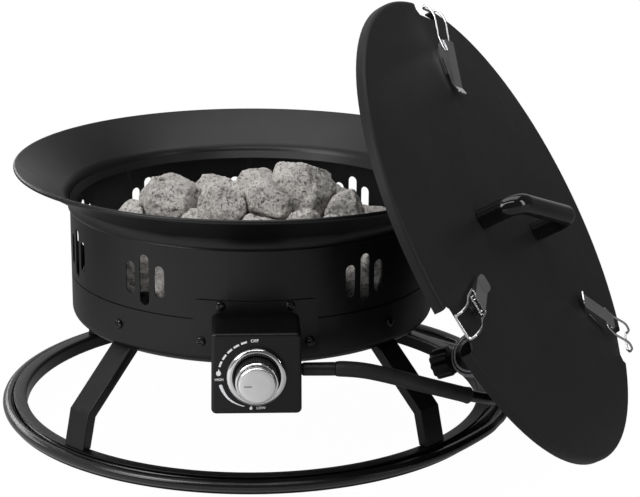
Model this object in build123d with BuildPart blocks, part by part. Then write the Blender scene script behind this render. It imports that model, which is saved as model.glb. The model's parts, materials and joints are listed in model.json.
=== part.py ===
"""Portable propane fire pit: ring stand, vented bowl with flared rim, gas control, wound hose and leaning lid.

Millimetres, +Z up. The origin is the centre of the base ring on the floor, the control box faces -Y, and the
lid leans against the rim on the +X side. Angles are degrees from the front, counter-clockwise seen from above.
"""

import os
from math import acos, cos, degrees, dist, radians, sin, tan

from build123d import *

# General fits
sheet = 1.2             # pressed bowl sheet
slip = 0.3              # clearance between pieces that slide or seat beside each other
seat = 0.1              # clearance at a welded or riveted seat
screw_d = 4.0
screw_hole_d = 4.6
screw_head_d = 9.4
screw_head_h = 2.6
screw_grip = 6.0        # shank below the head

# Base ring, an outward-opening channel that stores the hose
ring_inner_r = 236.0
ring_sheet = 1.5
ring_shoulder_r = 4.0
hose_d = 11.2
lap_gap = 0.6           # between the two stored laps of hose
groove_gap = 0.4        # between the hose and the channel
ring_lip = 13.5         # width of the top flange
ring_tray_over = 1.5    # how far the bottom flange reaches past the outer lap's middle
hose_z = ring_sheet + slip + hose_d / 2
ring_height = hose_z + hose_d / 2 + slip + ring_sheet
lap_inner_r = ring_inner_r + ring_sheet + groove_gap + hose_d / 2
lap_outer_r = lap_inner_r + hose_d + lap_gap

# Bowl: lower pan, vented wall, flared rim
wall_r = 186.0
pan_z = 100.2
pan_depth = 44.8
pan_corner_r = 10.0
seam_gap = 1.2          # groove between the pan and the wall above it
wall_height = 78.0      # from the seam to the rolled top edge
joggle_depth = 12.0     # the wall's lower edge, set in behind the pan
shoulder_in = 5.0       # the wall's top edge, turned inwards and down
shoulder_drop = 7.0
collar_z = 214.4        # lower edge of the rim
rim_z = 259.2
rim_r = 241.3
rim_bead_r = 2.2
rim_slope = 31.0
rim_neck_r = 17.0
seam_z = pan_z + pan_depth
wall_top_z = seam_z + wall_height
wall_in_r = wall_r - sheet

# Vents: groups of three upright slots, with none behind the control box
vent_first = 34.5
vent_pitch = 36.0
vent_pairs = 4
vent_z = 177.0
vent_slot_w = 11.0
vent_slot_gap = 6.0
vent_tall = 50.0
vent_short = 32.0

# Legs
leg_angles = {"front_left": -45, "front_right": 45, "rear_right": 135, "rear_left": -135}
leg_sheet = 1.6
leg_width = 27.0
leg_flange = 9.5
leg_notch = 1.2
leg_bend_r = 239.0
leg_bend_z = 50.5
leg_foot_r = 247.5
leg_foot_tab = 9.5

# Burner
bracket_sheet = 1.5
bracket_width = 20.0
bracket_reach = 24.0
bracket_screw_z = 126.0
tray_r = 176.0
tray_lip = 8.0
tray_hole_d = 8.0
tray_hole_rings = ((30.0, 6), (62.0, 12), (130.0, 24))
burner_ring_r = 95.0
burner_tube_r = 7.0
burner_port_d = 2.4
burner_ports = 24
feed_z = 120.0
feed_r = 7.0
feed_wall = 1.2
feed_bend_r = 10.0
bracket_top_z = bracket_screw_z + 6.0
tray_z = bracket_top_z + seat
burner_z = tray_z + sheet + seat + burner_tube_r

# Control box and its curved mounting plate
plate_half_angle = 18.4
plate_low_z = 115.5
plate_high_z = 165.5
plate_sheet = 1.6
plate_corner_r = 6.0
plate_screws = ((-10.1, 160.3), (10.1, 160.3), (-16.0, 124.0), (16.0, 124.0))
box_half_w = 42.0
box_low_z = 73.4
box_high_z = 152.4
box_front_y = -241.0
box_sheet = 1.5
box_edge_r = 5.0
plate_in_r = wall_r + seat
plate_out_r = plate_in_r + plate_sheet

# Knob and valve, on an axis that points to -Y
knob_z = 111.4
bezel_r = 28.0
bezel_in_r = 21.0
bezel_h = 7.0
bezel_lip = 1.4
knob_skirt_r = 20.0
knob_skirt_h = 17.0
knob_lift = 4.0         # from the box face to the knob's skirt, the room for its push
knob_cap_r = 17.3
knob_cap_h = 7.0
knob_flutes = 24
knob_flute_r = 1.1
knob_push = 3.0
stem_r = 2.5
stem_bore_r = 2.6
neck_r = 6.0
valve_r = 12.0
valve_len = 34.0
valve_nut_h = 3.0
valve_nut_flats = 17.0
plug_r = 4.6
plug_len = 18.0
boss_r = 7.0

# Hose fitting on the right of the box, with its sleeve
exit_y = -215.0
exit_z = 108.0
fitting_r = 6.4
fitting_neck_r = 5.4
fitting_neck_l = 8.0    # of the neck outside the box
sleeve_d = 15.6

# Regulator with its tank nut, lying on the ring at the right
regulator_at = (236.0, 12.0, 41.0)
regulator_axis = (-0.522, -0.578, 0.627)
outlet_way = (0.5, -0.8, -0.3)
inlet_way = (-0.853, 0.354, -0.383)
regulator_r = 23.0
regulator_rim_r = 26.0
regulator_rim_h = 2.2
regulator_deep = 15.0
regulator_dome = 8.0
inlet_r = 9.0
inlet_l = 40.0
nut_r = 16.5
nut_l = 20.0
nut_lobes = 10
nut_lobe_r = 2.6
nut_from = 27.0         # from the regulator's middle to the nut
outlet_l = 32.0
outlet_r = 7.5

# Lid, leaning on the rim
lid_at = (246.1, -107.55, 216.42)
lid_azimuth = -22.11    # of the outer face, degrees from +X
lid_lean = 30.526       # of the outer face above the horizon
lid_spin = -21.5        # of the handle about the face, from the level line
lid_r = 245.0
lid_sheet = 1.6
lid_skirt = 10.0
lid_notch_deep = 15.0   # cut in from the edge at each latch
lid_notch_half_w = 23.0
lid_notch_corner = 5.0
lid_corner_r = 4.0
handle_span = 135.0
handle_shift = 8.0      # of the handle's middle from the lid's
handle_rise = 40.0
handle_d = 20.0
handle_bend_r = 16.0
handle_screw_d = 6.0
handle_screw_head_d = 11.0
handle_screw_head_h = 2.4
handle_screw_l = 16.0

# Latches: hinge place on the lid, lever and wire bail
latch_angles = (90.0, 210.0, -30.0)
bail_tilts = (-1.5, -1.5, 2.0)      # of each bail against the lid's face
hinge_in = 49.0         # from the lid's edge
hinge_r = lid_r - hinge_in
hinge_h = 8.0
base_sheet = 1.0
base_half_w = 6.6
base_back = 31.0
ear_r = 3.4
pin_r = 1.8
pin_hole_r = 1.9
lever_sheet = 1.0
lever_half_w = 8.8
lever_nose = 1.5        # past the hinge
lever_rise = 5.0        # of the top plate over the hinge
lever_len = 47.0
lever_fall = 8.0        # of the top plate towards its tip
lever_thumb = 8.0
lever_thumb_up = 3.0
lever_thumb_r = 4.5     # of the thumb's rounded corners
lever_skirt = 5.0       # of the sides below the hinge
bail_back = 9.0
bail_lift = 0.9         # of the wire's hole over the hinge
wire_r = 1.2
wire_hole_r = 1.3
wire_half_w = 12.4
bail_reach = 52.0
bail_hook = 5.0
rivet_r = 2.6
rivet_h = 1.4
rivet_places = (20.0, 27.0)         # inwards from the hinge


def at(angle, radius, height=0.0):
    """The point at an angle from the front, at a radius and a height."""
    return Vector(radius * sin(radians(angle)), -radius * cos(radians(angle)), height)


def upright(angle):
    """The plane through the bowl's axis at an angle: X is the radius, Y the height."""
    return Plane((0, 0, 0), x_dir=at(angle, 1), z_dir=at(angle - 90, 1))


def facing(angle, radius, height):
    """The plane that touches a round wall at an angle, with its normal outwards and Y up."""
    return Plane(at(angle, radius, height), x_dir=at(angle + 90, 1), z_dir=at(angle, 1))


def save(builder, name):
    builder.part.label = name
    export_step(builder.part, f"parts/{name}.step")


def screw(plane, grip=screw_grip):
    """A pan-head screw whose head stands on a plane."""
    with BuildPart() as made:
        with BuildSketch(plane):
            Circle(screw_head_d / 2)
        extrude(amount=screw_head_h)
        fillet(made.edges().sort_by(Axis(plane.origin, plane.z_dir))[-1], screw_head_h * 0.6)
        with BuildSketch(plane):
            Circle(screw_d / 2)
        extrude(amount=-grip)
    return made.part


def ring_profile(plane, points):
    """A closed outline on a plane."""
    with BuildSketch(plane) as outline:
        with BuildLine():
            Polyline(*points, close=True)
        make_face()
    return outline.sketch


os.makedirs("parts", exist_ok=True)

# Base ring
with BuildPart() as base_ring:
    tray_edge = lap_outer_r + ring_tray_over
    with BuildSketch(upright(0)) as channel:
        with BuildLine():
            Polyline(
                (ring_inner_r, 0),
                (tray_edge, 0),
                (tray_edge, ring_sheet),
                (ring_inner_r + ring_sheet, ring_sheet),
                (ring_inner_r + ring_sheet, ring_height - ring_sheet),
                (ring_inner_r + ring_lip, ring_height - ring_sheet),
                (ring_inner_r + ring_lip, ring_height),
                (ring_inner_r, ring_height),
                close=True,
            )
        make_face()
        shoulder = channel.vertices().group_by(Axis.Y)[-1].sort_by(Axis.X)[0]
        fillet(shoulder, ring_shoulder_r)
    revolve(axis=Axis.Z)
save(base_ring, "base_ring")


def pan_outline(radius, low, corner):
    """The pan's profile from its axis to its seam, as pending edges on the upright plane."""
    floor = Line((0, low), (radius - corner, low))
    bend = CenterArc((radius - corner, low + corner), corner, -90, 90)
    Line(bend @ 1, (radius, seam_z))
    return floor


# Lower pan
pan_air_hole_d = 14.0
pan_air_ring_r = 110.0
pan_air_holes = 8
with BuildPart() as lower_pan:
    with BuildSketch(upright(0)):
        with BuildLine():
            pan_outline(wall_r, pan_z, pan_corner_r)
            Line((wall_r, seam_z), (wall_in_r, seam_z))
            inner_bend = CenterArc(
                (wall_r - pan_corner_r, pan_z + pan_corner_r), pan_corner_r - sheet, -90, 90
            )
            Line((wall_in_r, seam_z), inner_bend @ 1)
            Line(inner_bend @ 0, (0, pan_z + sheet))
            Line((0, pan_z + sheet), (0, pan_z))
        make_face()
    revolve(axis=Axis.Z)
    with BuildSketch(Plane.XY.offset(pan_z)):
        with PolarLocations(pan_air_ring_r, pan_air_holes):
            Circle(pan_air_hole_d / 2)
    extrude(amount=sheet, mode=Mode.SUBTRACT)
    with BuildSketch(facing(0, wall_r, feed_z)):
        Circle(feed_r + slip)
    extrude(amount=pan_corner_r / 2, both=True, mode=Mode.SUBTRACT)
    for angle in leg_angles.values():
        with BuildSketch(facing(angle, wall_r, bracket_screw_z)):
            Circle(screw_hole_d / 2)
        extrude(amount=2 * sheet, both=True, mode=Mode.SUBTRACT)
    for angle, height in plate_screws:
        if height < seam_z:
            with BuildSketch(facing(angle, wall_r, height)):
                Circle(screw_hole_d / 2)
            extrude(amount=2 * sheet, both=True, mode=Mode.SUBTRACT)
save(lower_pan, "lower_pan")

# Vented wall: set in behind the pan below, turned in at the top
joggle_out_r = wall_in_r - slip
vent_angles = [side * (vent_first + vent_pitch * step) for step in range(vent_pairs) for side in (-1, 1)]
vent_angles.append(180.0)
wall_foot_z = seam_z + seam_gap
with BuildPart() as vented_wall:
    with BuildSketch(upright(0)):
        with BuildLine():
            Polyline(
                (joggle_out_r, seam_z - joggle_depth),
                (joggle_out_r, wall_foot_z),
                (wall_r, wall_foot_z),
                (wall_r, wall_top_z - sheet),
                (wall_r - sheet, wall_top_z),
                (wall_in_r - shoulder_in, wall_top_z - shoulder_drop),
                (wall_in_r - shoulder_in, wall_top_z - shoulder_drop - sheet),
                (wall_in_r, wall_top_z - 2 * sheet),
                (wall_in_r, wall_foot_z + sheet),
                (joggle_out_r - sheet, wall_foot_z + sheet),
                (joggle_out_r - sheet, seam_z - joggle_depth),
                close=True,
            )
        make_face()
    revolve(axis=Axis.Z)
    slot_pitch = vent_slot_w + vent_slot_gap
    for angle in vent_angles:
        with BuildSketch(facing(angle, wall_r, vent_z)):
            SlotOverall(vent_tall, vent_slot_w, rotation=90)
            with Locations((-slot_pitch, 0), (slot_pitch, 0)):
                SlotOverall(vent_short, vent_slot_w, rotation=90)
        extrude(amount=4 * sheet, both=True, mode=Mode.SUBTRACT)
    for angle, height in plate_screws:
        if height > seam_z:
            with BuildSketch(facing(angle, wall_r, height)):
                Circle(screw_hole_d / 2)
            extrude(amount=2 * sheet, both=True, mode=Mode.SUBTRACT)
save(vented_wall, "vented_wall")

# Rim: a collar round the wall that flares to a rolled lip
rim_in_r = wall_r + seat
rim_mid_r = rim_in_r + sheet / 2
bead_at = (rim_r - rim_bead_r, rim_z - rim_bead_r)
rim_turn = 90 - rim_slope
slope_way = (cos(radians(rim_slope)), sin(radians(rim_slope)))
flare_in = rim_neck_r * (1 - cos(radians(rim_turn)))
flare_up = rim_neck_r * sin(radians(rim_turn))
cone_len = (bead_at[0] - rim_mid_r - flare_in) / slope_way[0]
neck_z = bead_at[1] - cone_len * slope_way[1] - flare_up
with BuildPart() as rim:
    with BuildSketch(upright(0)):
        with BuildLine():
            neck_at = (rim_mid_r + rim_neck_r, neck_z)
            inner = CenterArc(neck_at, rim_neck_r + sheet / 2, 180, -rim_turn)
            outer = CenterArc(neck_at, rim_neck_r - sheet / 2, 180, -rim_turn)
            bead_half = (-slope_way[1] * sheet / 2, slope_way[0] * sheet / 2)
            bead_in = (bead_at[0] + bead_half[0], bead_at[1] + bead_half[1])
            bead_out = (bead_at[0] - bead_half[0], bead_at[1] - bead_half[1])
            Line((rim_in_r, collar_z), (rim_in_r, neck_z))
            Polyline(inner @ 1, bead_in, bead_out, outer @ 1)
            Polyline((rim_in_r + sheet, neck_z), (rim_in_r + sheet, collar_z), (rim_in_r, collar_z))
        make_face()
        with Locations(bead_at):
            Circle(rim_bead_r)
    revolve(axis=Axis.Z)
save(rim, "rim")

# Legs: pressed channels, notched at the bend, from the ring's flange to the pan's rounded corner
pan_corner_at = (wall_r - pan_corner_r, pan_z + pan_corner_r)
leg_top = (pan_corner_at[0], pan_corner_at[1])
leg_bend = (leg_bend_r, leg_bend_z)
leg_foot = (leg_foot_r, ring_height)


def unit(start, end):
    length = dist(start, end)
    return ((end[0] - start[0]) / length, (end[1] - start[1]) / length)


def shifted(point, *steps):
    """A point moved by pairs of a direction and a length."""
    x, y = point
    for way, length in steps:
        x += way[0] * length
        y += way[1] * length
    return (x, y)


upper_way = unit(leg_top, leg_bend)
lower_way = unit(leg_bend, leg_foot)
upper_in = (upper_way[1], -upper_way[0])     # towards the bowl's axis, square to the upper web
lower_in = (lower_way[1], -lower_way[0])
mitre = unit((0, 0), (upper_in[0] + lower_in[0], upper_in[1] + lower_in[1]))
mitre_len = leg_sheet / (mitre[0] * upper_in[0] + mitre[1] * upper_in[1])
pan_cut_r = pan_corner_r + seat

for place, angle in leg_angles.items():
    with BuildPart() as leg:
        side = upright(angle)
        web = [
            leg_top,
            leg_bend,
            leg_foot,
            shifted(leg_foot, ((-1, 0), leg_foot_tab)),
            shifted(leg_foot, ((-1, 0), leg_foot_tab), ((0, 1), leg_sheet)),
            shifted(leg_foot, (lower_in, leg_sheet), (lower_way, -leg_sheet)),
            shifted(leg_bend, (mitre, mitre_len)),
            shifted(leg_top, (upper_in, leg_sheet)),
        ]
        extrude(ring_profile(side, web), amount=leg_width / 2)
        flange_plane = side.offset(leg_width / 2 - leg_sheet)
        extrude(
            ring_profile(
                flange_plane,
                [
                    leg_top,
                    leg_bend,
                    shifted(leg_bend, (upper_in, leg_flange), (upper_way, -leg_notch)),
                    shifted(leg_top, (upper_in, leg_flange)),
                ],
            ),
            amount=leg_sheet,
        )
        extrude(
            ring_profile(
                flange_plane,
                [
                    leg_bend,
                    leg_foot,
                    shifted(leg_foot, ((-1, 0), leg_foot_tab)),
                    shifted(leg_bend, (lower_in, leg_flange), (lower_way, leg_notch)),
                ],
            ),
            amount=leg_sheet,
        )
        mirror(about=side)
        with BuildSketch(upright(0)):
            with BuildLine():
                Polyline(
                    (0, pan_z - seat),
                    (pan_corner_at[0], pan_z - seat),
                )
                CenterArc(pan_corner_at, pan_cut_r, -90, 90)
                Polyline(
                    (pan_corner_at[0] + pan_cut_r, pan_corner_at[1]),
                    (pan_corner_at[0] + pan_cut_r, seam_z),
                    (0, seam_z),
                    (0, pan_z - seat),
                )
            make_face()
        revolve(axis=Axis.Z, mode=Mode.SUBTRACT)
    save(leg, f"leg_{place}")

# Brackets inside the pan, on the screws above the legs, that carry the burner tray
bracket_out_r = wall_in_r - 2 * slip
bracket_low_z = bracket_screw_z - 3.4
with BuildPart() as tray_brackets:
    for angle in leg_angles.values():
        side = upright(angle)
        extrude(
            ring_profile(
                side,
                [
                    (bracket_out_r, bracket_low_z),
                    (bracket_out_r, bracket_top_z),
                    (bracket_out_r - bracket_reach, bracket_top_z),
                    (bracket_out_r - bracket_reach, bracket_top_z - bracket_sheet),
                    (bracket_out_r - bracket_sheet, bracket_top_z - bracket_sheet),
                    (bracket_out_r - bracket_sheet, bracket_low_z),
                ],
            ),
            amount=bracket_width / 2, both=True,
        )
        with BuildSketch(facing(angle, bracket_out_r, bracket_screw_z)):
            Circle(screw_hole_d / 2)
        extrude(amount=2 * bracket_sheet, both=True, mode=Mode.SUBTRACT)
save(tray_brackets, "tray_brackets")

with BuildPart() as pan_screws:
    for angle in leg_angles.values():
        add(screw(facing(angle, wall_r + slip, bracket_screw_z)))
save(pan_screws, "pan_screws")

# Burner tray, ring and feed
with BuildPart() as burner_tray:
    with BuildSketch(upright(0)):
        with BuildLine():
            Polyline(
                (0, tray_z),
                (tray_r, tray_z),
                (tray_r, tray_z + tray_lip),
                (tray_r - sheet, tray_z + tray_lip),
                (tray_r - sheet, tray_z + sheet),
                (0, tray_z + sheet),
                close=True,
            )
        make_face()
    revolve(axis=Axis.Z)
    with BuildSketch(Plane.XY.offset(tray_z)):
        for ring_r, count in tray_hole_rings:
            with PolarLocations(ring_r, count):
                Circle(tray_hole_d / 2)
        with Locations(at(0, burner_ring_r)):
            Circle(feed_r + slip)
    extrude(amount=sheet, mode=Mode.SUBTRACT)
save(burner_tray, "burner_tray")

feed_top_z = feed_z + feed_bend_r + seat
with BuildPart() as burner_ring:
    with Locations((0, 0, burner_z)):
        Torus(burner_ring_r, burner_tube_r)
    with BuildSketch(Plane.XY.offset(feed_top_z + seat)):
        with Locations(at(0, burner_ring_r)):
            Circle(feed_r)
    extrude(amount=burner_z - feed_top_z - seat)
    with BuildSketch(Plane.XY.offset(burner_z)):
        with PolarLocations(burner_ring_r, burner_ports):
            Circle(burner_port_d / 2)
    extrude(amount=2 * burner_tube_r, mode=Mode.SUBTRACT)
save(burner_ring, "burner_ring")

valve_back_y = box_front_y + box_sheet + valve_len
orifice_l = 8.0
orifice_flats = 14.0
feed_start_y = valve_back_y + orifice_l
with BuildPart() as orifice_fitting:
    with BuildSketch(Plane((0, valve_back_y + seat, feed_z), x_dir=(1, 0, 0), z_dir=(0, 1, 0))):
        RegularPolygon(orifice_flats / 2, 6, major_radius=False)
    extrude(amount=orifice_l - 2 * seat)
save(orifice_fitting, "orifice_fitting")

with BuildPart() as gas_feed_tube:
    bend_y = -burner_ring_r - feed_bend_r
    with BuildLine(Plane.YZ) as feed_path:
        Line((feed_start_y, feed_z), (bend_y, feed_z))
        JernArc((bend_y, feed_z), (1, 0), feed_bend_r, 90)
    with BuildSketch(Plane((0, feed_start_y, feed_z), x_dir=(1, 0, 0), z_dir=(0, 1, 0))):
        Circle(feed_r)
        Circle(feed_r - feed_wall, mode=Mode.SUBTRACT)
    sweep(path=feed_path.wire())
save(gas_feed_tube, "gas_feed_tube")


def turned(plane, points):
    """A solid turned about a plane's Y axis from pairs of a radius and a height."""
    with BuildPart() as made:
        add(ring_profile(plane, points))
        revolve(axis=Axis(plane.origin, plane.y_dir))
    return made.part


def shaft(origin, way):
    """A plane at a point whose Y axis points along a way, for turned pieces."""
    forward = Vector(way).normalized()
    across = Vector(0, 0, 1).cross(forward)
    if across.length < 0.1:
        across = Vector(1, 0, 0)
    across = across.normalized()
    return Plane(origin, x_dir=across, z_dir=across.cross(forward))


def section(plane, height):
    """The plane square to a shaft's axis, at a height along it."""
    return Plane(plane.origin + plane.y_dir * height, x_dir=plane.x_dir, z_dir=plane.y_dir)


# Mounting plate of the control box, curved to the bowl
with BuildPart() as control_mount_plate:
    add(
        ring_profile(
            upright(-plate_half_angle),
            [
                (plate_in_r, plate_low_z),
                (plate_out_r, plate_low_z),
                (plate_out_r, plate_high_z),
                (plate_in_r, plate_high_z),
            ],
        )
    )
    revolve(axis=Axis.Z, revolution_arc=2 * plate_half_angle)
    corners = control_mount_plate.edges().filter_by(lambda edge: edge.length < 2 * plate_sheet)
    fillet(corners, plate_corner_r)
    for angle, height in plate_screws:
        with BuildSketch(facing(angle, plate_out_r, height)):
            Circle(screw_hole_d / 2)
        extrude(amount=2 * plate_sheet, both=True, mode=Mode.SUBTRACT)
    with BuildSketch(facing(0, plate_out_r, feed_z)):
        Circle(feed_r + slip)
    extrude(amount=3 * plate_sheet, both=True, mode=Mode.SUBTRACT)
save(control_mount_plate, "control_mount_plate")

with BuildPart() as panel_screws:
    for angle, height in plate_screws:
        add(screw(facing(angle, plate_out_r + slip, height)))
save(panel_screws, "panel_screws")

# Control box, a pressed cover open at its back
box_taper = 0.8
box_face = Plane((0, box_front_y, 0), x_dir=(1, 0, 0), z_dir=(0, -1, 0))
box_deep = -box_front_y - wall_r + 8.0
with BuildPart() as control_box:
    with BuildSketch(box_face):
        with BuildLine():
            Polyline(
                (-box_half_w, box_low_z),
                (box_half_w, box_low_z),
                (box_half_w - box_taper, box_high_z),
                (-box_half_w + box_taper, box_high_z),
                close=True,
            )
        make_face()
    extrude(amount=-box_deep)
    fillet(control_box.edges().filter_by(Axis.Y), box_edge_r)
    fillet(control_box.faces().sort_by(Axis.Y)[0].edges(), box_edge_r * 0.7)
    offset(amount=-box_sheet, openings=control_box.faces().sort_by(Axis.Y)[-1])
    with Locations((0, 0, (box_low_z + box_high_z) / 2)):
        Cylinder(plate_out_r + seat, 2 * (box_high_z - box_low_z), mode=Mode.SUBTRACT)
    with BuildSketch(box_face):
        with Locations((0, knob_z)):
            Circle(neck_r + slip)
    extrude(amount=-box_edge_r, mode=Mode.SUBTRACT)
    with BuildSketch(Plane((0, exit_y, exit_z), x_dir=(0, 1, 0), z_dir=(1, 0, 0))):
        Circle(fitting_neck_r + slip)
    extrude(amount=2 * box_half_w, mode=Mode.SUBTRACT)
save(control_box, "control_box")

# Knob axis: X is the radius, Y points out of the box
knob_axis = Plane((0, box_front_y, knob_z), x_dir=(1, 0, 0), z_dir=(0, 0, -1))
with BuildPart() as knob_bezel:
    add(
        turned(
            knob_axis,
            [
                (bezel_in_r, seat),
                (bezel_r, seat),
                (bezel_r, bezel_h - 3 * bezel_lip),
                (bezel_r - bezel_lip / 2, bezel_h - bezel_lip),
                (bezel_r - 2 * bezel_lip, bezel_h),
                (bezel_in_r + bezel_lip / 2, bezel_h - bezel_lip / 4),
                (bezel_in_r, bezel_h - bezel_lip),
            ],
        )
    )
save(knob_bezel, "knob_bezel")

valve_front = -box_sheet - 2 * seat
neck_out = valve_nut_h + 4 * seat + 0.8
cavity_from = -12.0
cavity_to = cavity_from - plug_len - 2 * slip
with BuildPart() as valve_body:
    add(
        turned(
            knob_axis,
            [
                (0, -box_sheet - valve_len),
                (valve_r, -box_sheet - valve_len),
                (valve_r, valve_front),
                (neck_r, valve_front),
                (neck_r, neck_out),
                (stem_bore_r, neck_out),
                (stem_bore_r, cavity_from),
                (plug_r + seat, cavity_from),
                (plug_r + seat, cavity_to),
                (0, cavity_to),
            ],
        )
    )
    with BuildSketch(Plane((plug_r + 2, exit_y, exit_z), x_dir=(0, 1, 0), z_dir=(1, 0, 0))):
        Circle(boss_r)
    extrude(amount=24.0)
    with BuildSketch(Plane((0, valve_back_y, feed_z), x_dir=(1, 0, 0), z_dir=(0, -1, 0))):
        Circle(boss_r + 1)
    extrude(amount=3.6)
save(valve_body, "valve_body")

with BuildPart() as valve_nut:
    with BuildSketch(section(knob_axis, 2 * seat)):
        RegularPolygon(valve_nut_flats / 2, 6, major_radius=False)
        Circle(neck_r + seat, mode=Mode.SUBTRACT)
    extrude(amount=valve_nut_h)
save(valve_nut, "valve_nut")

plug_from = cavity_from - slip
plug_to = plug_from - plug_len
stem_to = plug_to + 3.0 + knob_push + slip
with BuildPart() as valve_plug:
    add(
        turned(
            knob_axis,
            [
                (0, plug_to),
                (plug_r, plug_to),
                (plug_r, plug_from),
                (stem_bore_r, plug_from),
                (stem_bore_r, plug_to + 3.0),
                (0, plug_to + 3.0),
            ],
        )
    )
save(valve_plug, "valve_plug")

knob_top = knob_lift + knob_skirt_h
hub_from = valve_nut_h + knob_push + 3.0
stem_top = knob_top - 2.0
with BuildPart() as valve_stem:
    add(
        turned(
            knob_axis,
            [(0, stem_to), (stem_r, stem_to), (stem_r, stem_top - seat), (0, stem_top - seat)],
        )
    )
save(valve_stem, "valve_stem")

skirt_wall = 3.6
hub_r = 5.5
with BuildPart() as knob_skirt:
    add(
        turned(
            knob_axis,
            [
                (knob_skirt_r, knob_lift),
                (knob_skirt_r, knob_top - 1.0),
                (knob_skirt_r - 1.0, knob_top),
                (0, knob_top),
                (0, stem_top),
                (stem_r + seat, stem_top),
                (stem_r + seat, hub_from),
                (hub_r, hub_from),
                (hub_r, knob_top - skirt_wall),
                (knob_skirt_r - skirt_wall, knob_top - skirt_wall),
                (knob_skirt_r - skirt_wall, knob_lift),
            ],
        )
    )
    with BuildSketch(section(knob_axis, knob_lift + 2.0)):
        with PolarLocations(knob_skirt_r + knob_flute_r * 0.4, knob_flutes):
            Circle(knob_flute_r)
    extrude(amount=knob_skirt_h, mode=Mode.SUBTRACT)
save(knob_skirt, "knob_skirt")

pointer_w = 1.6
with BuildPart() as knob_cap:
    with BuildSketch(section(knob_axis, knob_top + seat)):
        Circle(knob_cap_r)
    extrude(amount=knob_cap_h)
    front_edge = knob_cap.edges().sort_by(Axis.Y)[0]
    fillet(front_edge, 1.8)
    with BuildSketch(section(knob_axis, knob_top + seat + knob_cap_h)):
        with Locations((-knob_cap_r * 0.55, 0)):
            SlotOverall(knob_cap_r * 0.45, pointer_w)
    extrude(amount=-0.5, mode=Mode.SUBTRACT)
save(knob_cap, "knob_cap")

# Gas hose: the fitting, the lead from the box to the ring, the stored laps and the tail to the regulator
hose_r = hose_d / 2
fitting_from = plug_r + 26.0 + seat
fitting_end = 74.0
with BuildPart() as hose_fitting:
    along_x = Plane((0, exit_y, exit_z), x_dir=(0, 1, 0), z_dir=(1, 0, 0))
    boss_to = box_half_w - box_taper - box_sheet - 2 * slip
    neck_to = box_half_w + fitting_neck_l
    with BuildSketch(along_x.offset(fitting_from)):
        Circle(boss_r)
    extrude(amount=boss_to - fitting_from)
    with BuildSketch(along_x.offset(boss_to)):
        Circle(fitting_neck_r)
    extrude(amount=neck_to - boss_to)
    with BuildSketch(along_x.offset(neck_to)):
        Circle(fitting_r)
    extrude(amount=fitting_end - neck_to)
save(hose_fitting, "hose_fitting")

lead_points = [
    (fitting_end + seat, exit_y, exit_z),
    (93.0, exit_y, exit_z),
    (125.0, -214.0, 100.5),
    (154.0, -213.0, 91.5),
    (180.0, -208.0, 83.0),
    (203.0, -200.0, 74.0),
    (228.0, -184.0, 64.0),
    (258.0, -150.0, 53.0),
    (281.0, -100.0, 45.0),
    (291.0, -45.0, 39.0),
    (288.0, 10.0, 33.0),
    (277.0, 48.0, 28.5),
    (257.0, 79.0, 22.0),
    (235.0, 112.0, 8.6),
    (196.0, 158.0, hose_z),
    (150.0, 196.0, hose_z),
    (91.6, 231.1, hose_z),
]
winding_start = at(170, lap_inner_r, hose_z)
lead_points.append(tuple(winding_start - at(170 + 90, seat)))


def easy_bends(points):
    """For each inner point of a route, the largest bend that leaves its straight runs some length."""
    bends = []
    for before, here, after in zip(points, points[1:], points[2:]):
        back = Vector(here) - Vector(before)
        on = Vector(after) - Vector(here)
        turn = acos(max(-1.0, min(1.0, back.normalized().dot(on.normalized()))))
        bends.append(0.45 * min(back.length, on.length) / tan(max(turn, 0.004) / 2))
    return bends


def tube(points, bends, radius, bore=0.0):
    """A round rod or tube along a route with rounded corners."""
    with BuildPart() as made:
        with BuildLine() as route:
            FilletPolyline(*points, radius=bends)
        with BuildSketch(Plane(points[0], z_dir=Vector(points[1]) - Vector(points[0]))):
            Circle(radius)
            if bore:
                Circle(bore, mode=Mode.SUBTRACT)
        sweep(path=route.wire())
    return made.part


with BuildPart() as hose_lead:
    add(tube(lead_points, easy_bends(lead_points), hose_r))
save(hose_lead, "hose_lead")

# The sleeve covers the first runs of the lead, on the same bends
sleeve_from = 1
sleeve_to = 5
with BuildPart() as hose_sleeve:
    covered = lead_points[sleeve_from:sleeve_to + 1]
    lead_bends = easy_bends(lead_points)
    start = Vector(covered[0]) * 0.45 + Vector(covered[1]) * 0.55
    end = Vector(covered[-2]) * 0.5 + Vector(covered[-1]) * 0.5
    add(
        tube(
            [tuple(start), *covered[1:-1], tuple(end)],
            lead_bends[sleeve_from:sleeve_to - 1],
            sleeve_d / 2,
            hose_r + slip,
        )
    )
save(hose_sleeve, "hose_sleeve")

# Stored laps: arcs of 45 degrees between quarter marks, so that every lap meets the next one smoothly
lap_bulge = 34.0
lap_marks = (lap_inner_r, lap_inner_r, lap_inner_r, lap_inner_r + lap_bulge, lap_outer_r, lap_outer_r, lap_outer_r)
mark_first = 215.0
tail_turn = 25.0
tail_ease = lap_bulge * (1 + 1 / 2 ** 0.5)
with BuildPart() as hose_winding:
    with BuildLine() as laps:
        made = JernArc(
            tuple(winding_start), tuple(at(170 + 90, 1)), lap_inner_r, 45
        )
        for near, far in zip(lap_marks, lap_marks[1:]):
            ease = (far - near) * (1 + 1 / 2 ** 0.5)
            made = JernArc(made @ 1, made % 1, near + ease, 45)
            made = JernArc(made @ 1, made % 1, far - ease, 45)
        made = JernArc(made @ 1, made % 1, lap_outer_r + tail_ease, tail_turn)
    winding_end = made @ 1
    winding_way = made % 1
    with BuildSketch(Plane(winding_start, z_dir=at(170 + 90, 1))):
        Circle(hose_r)
    sweep(path=laps.wire())
save(hose_winding, "hose_winding")

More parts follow.
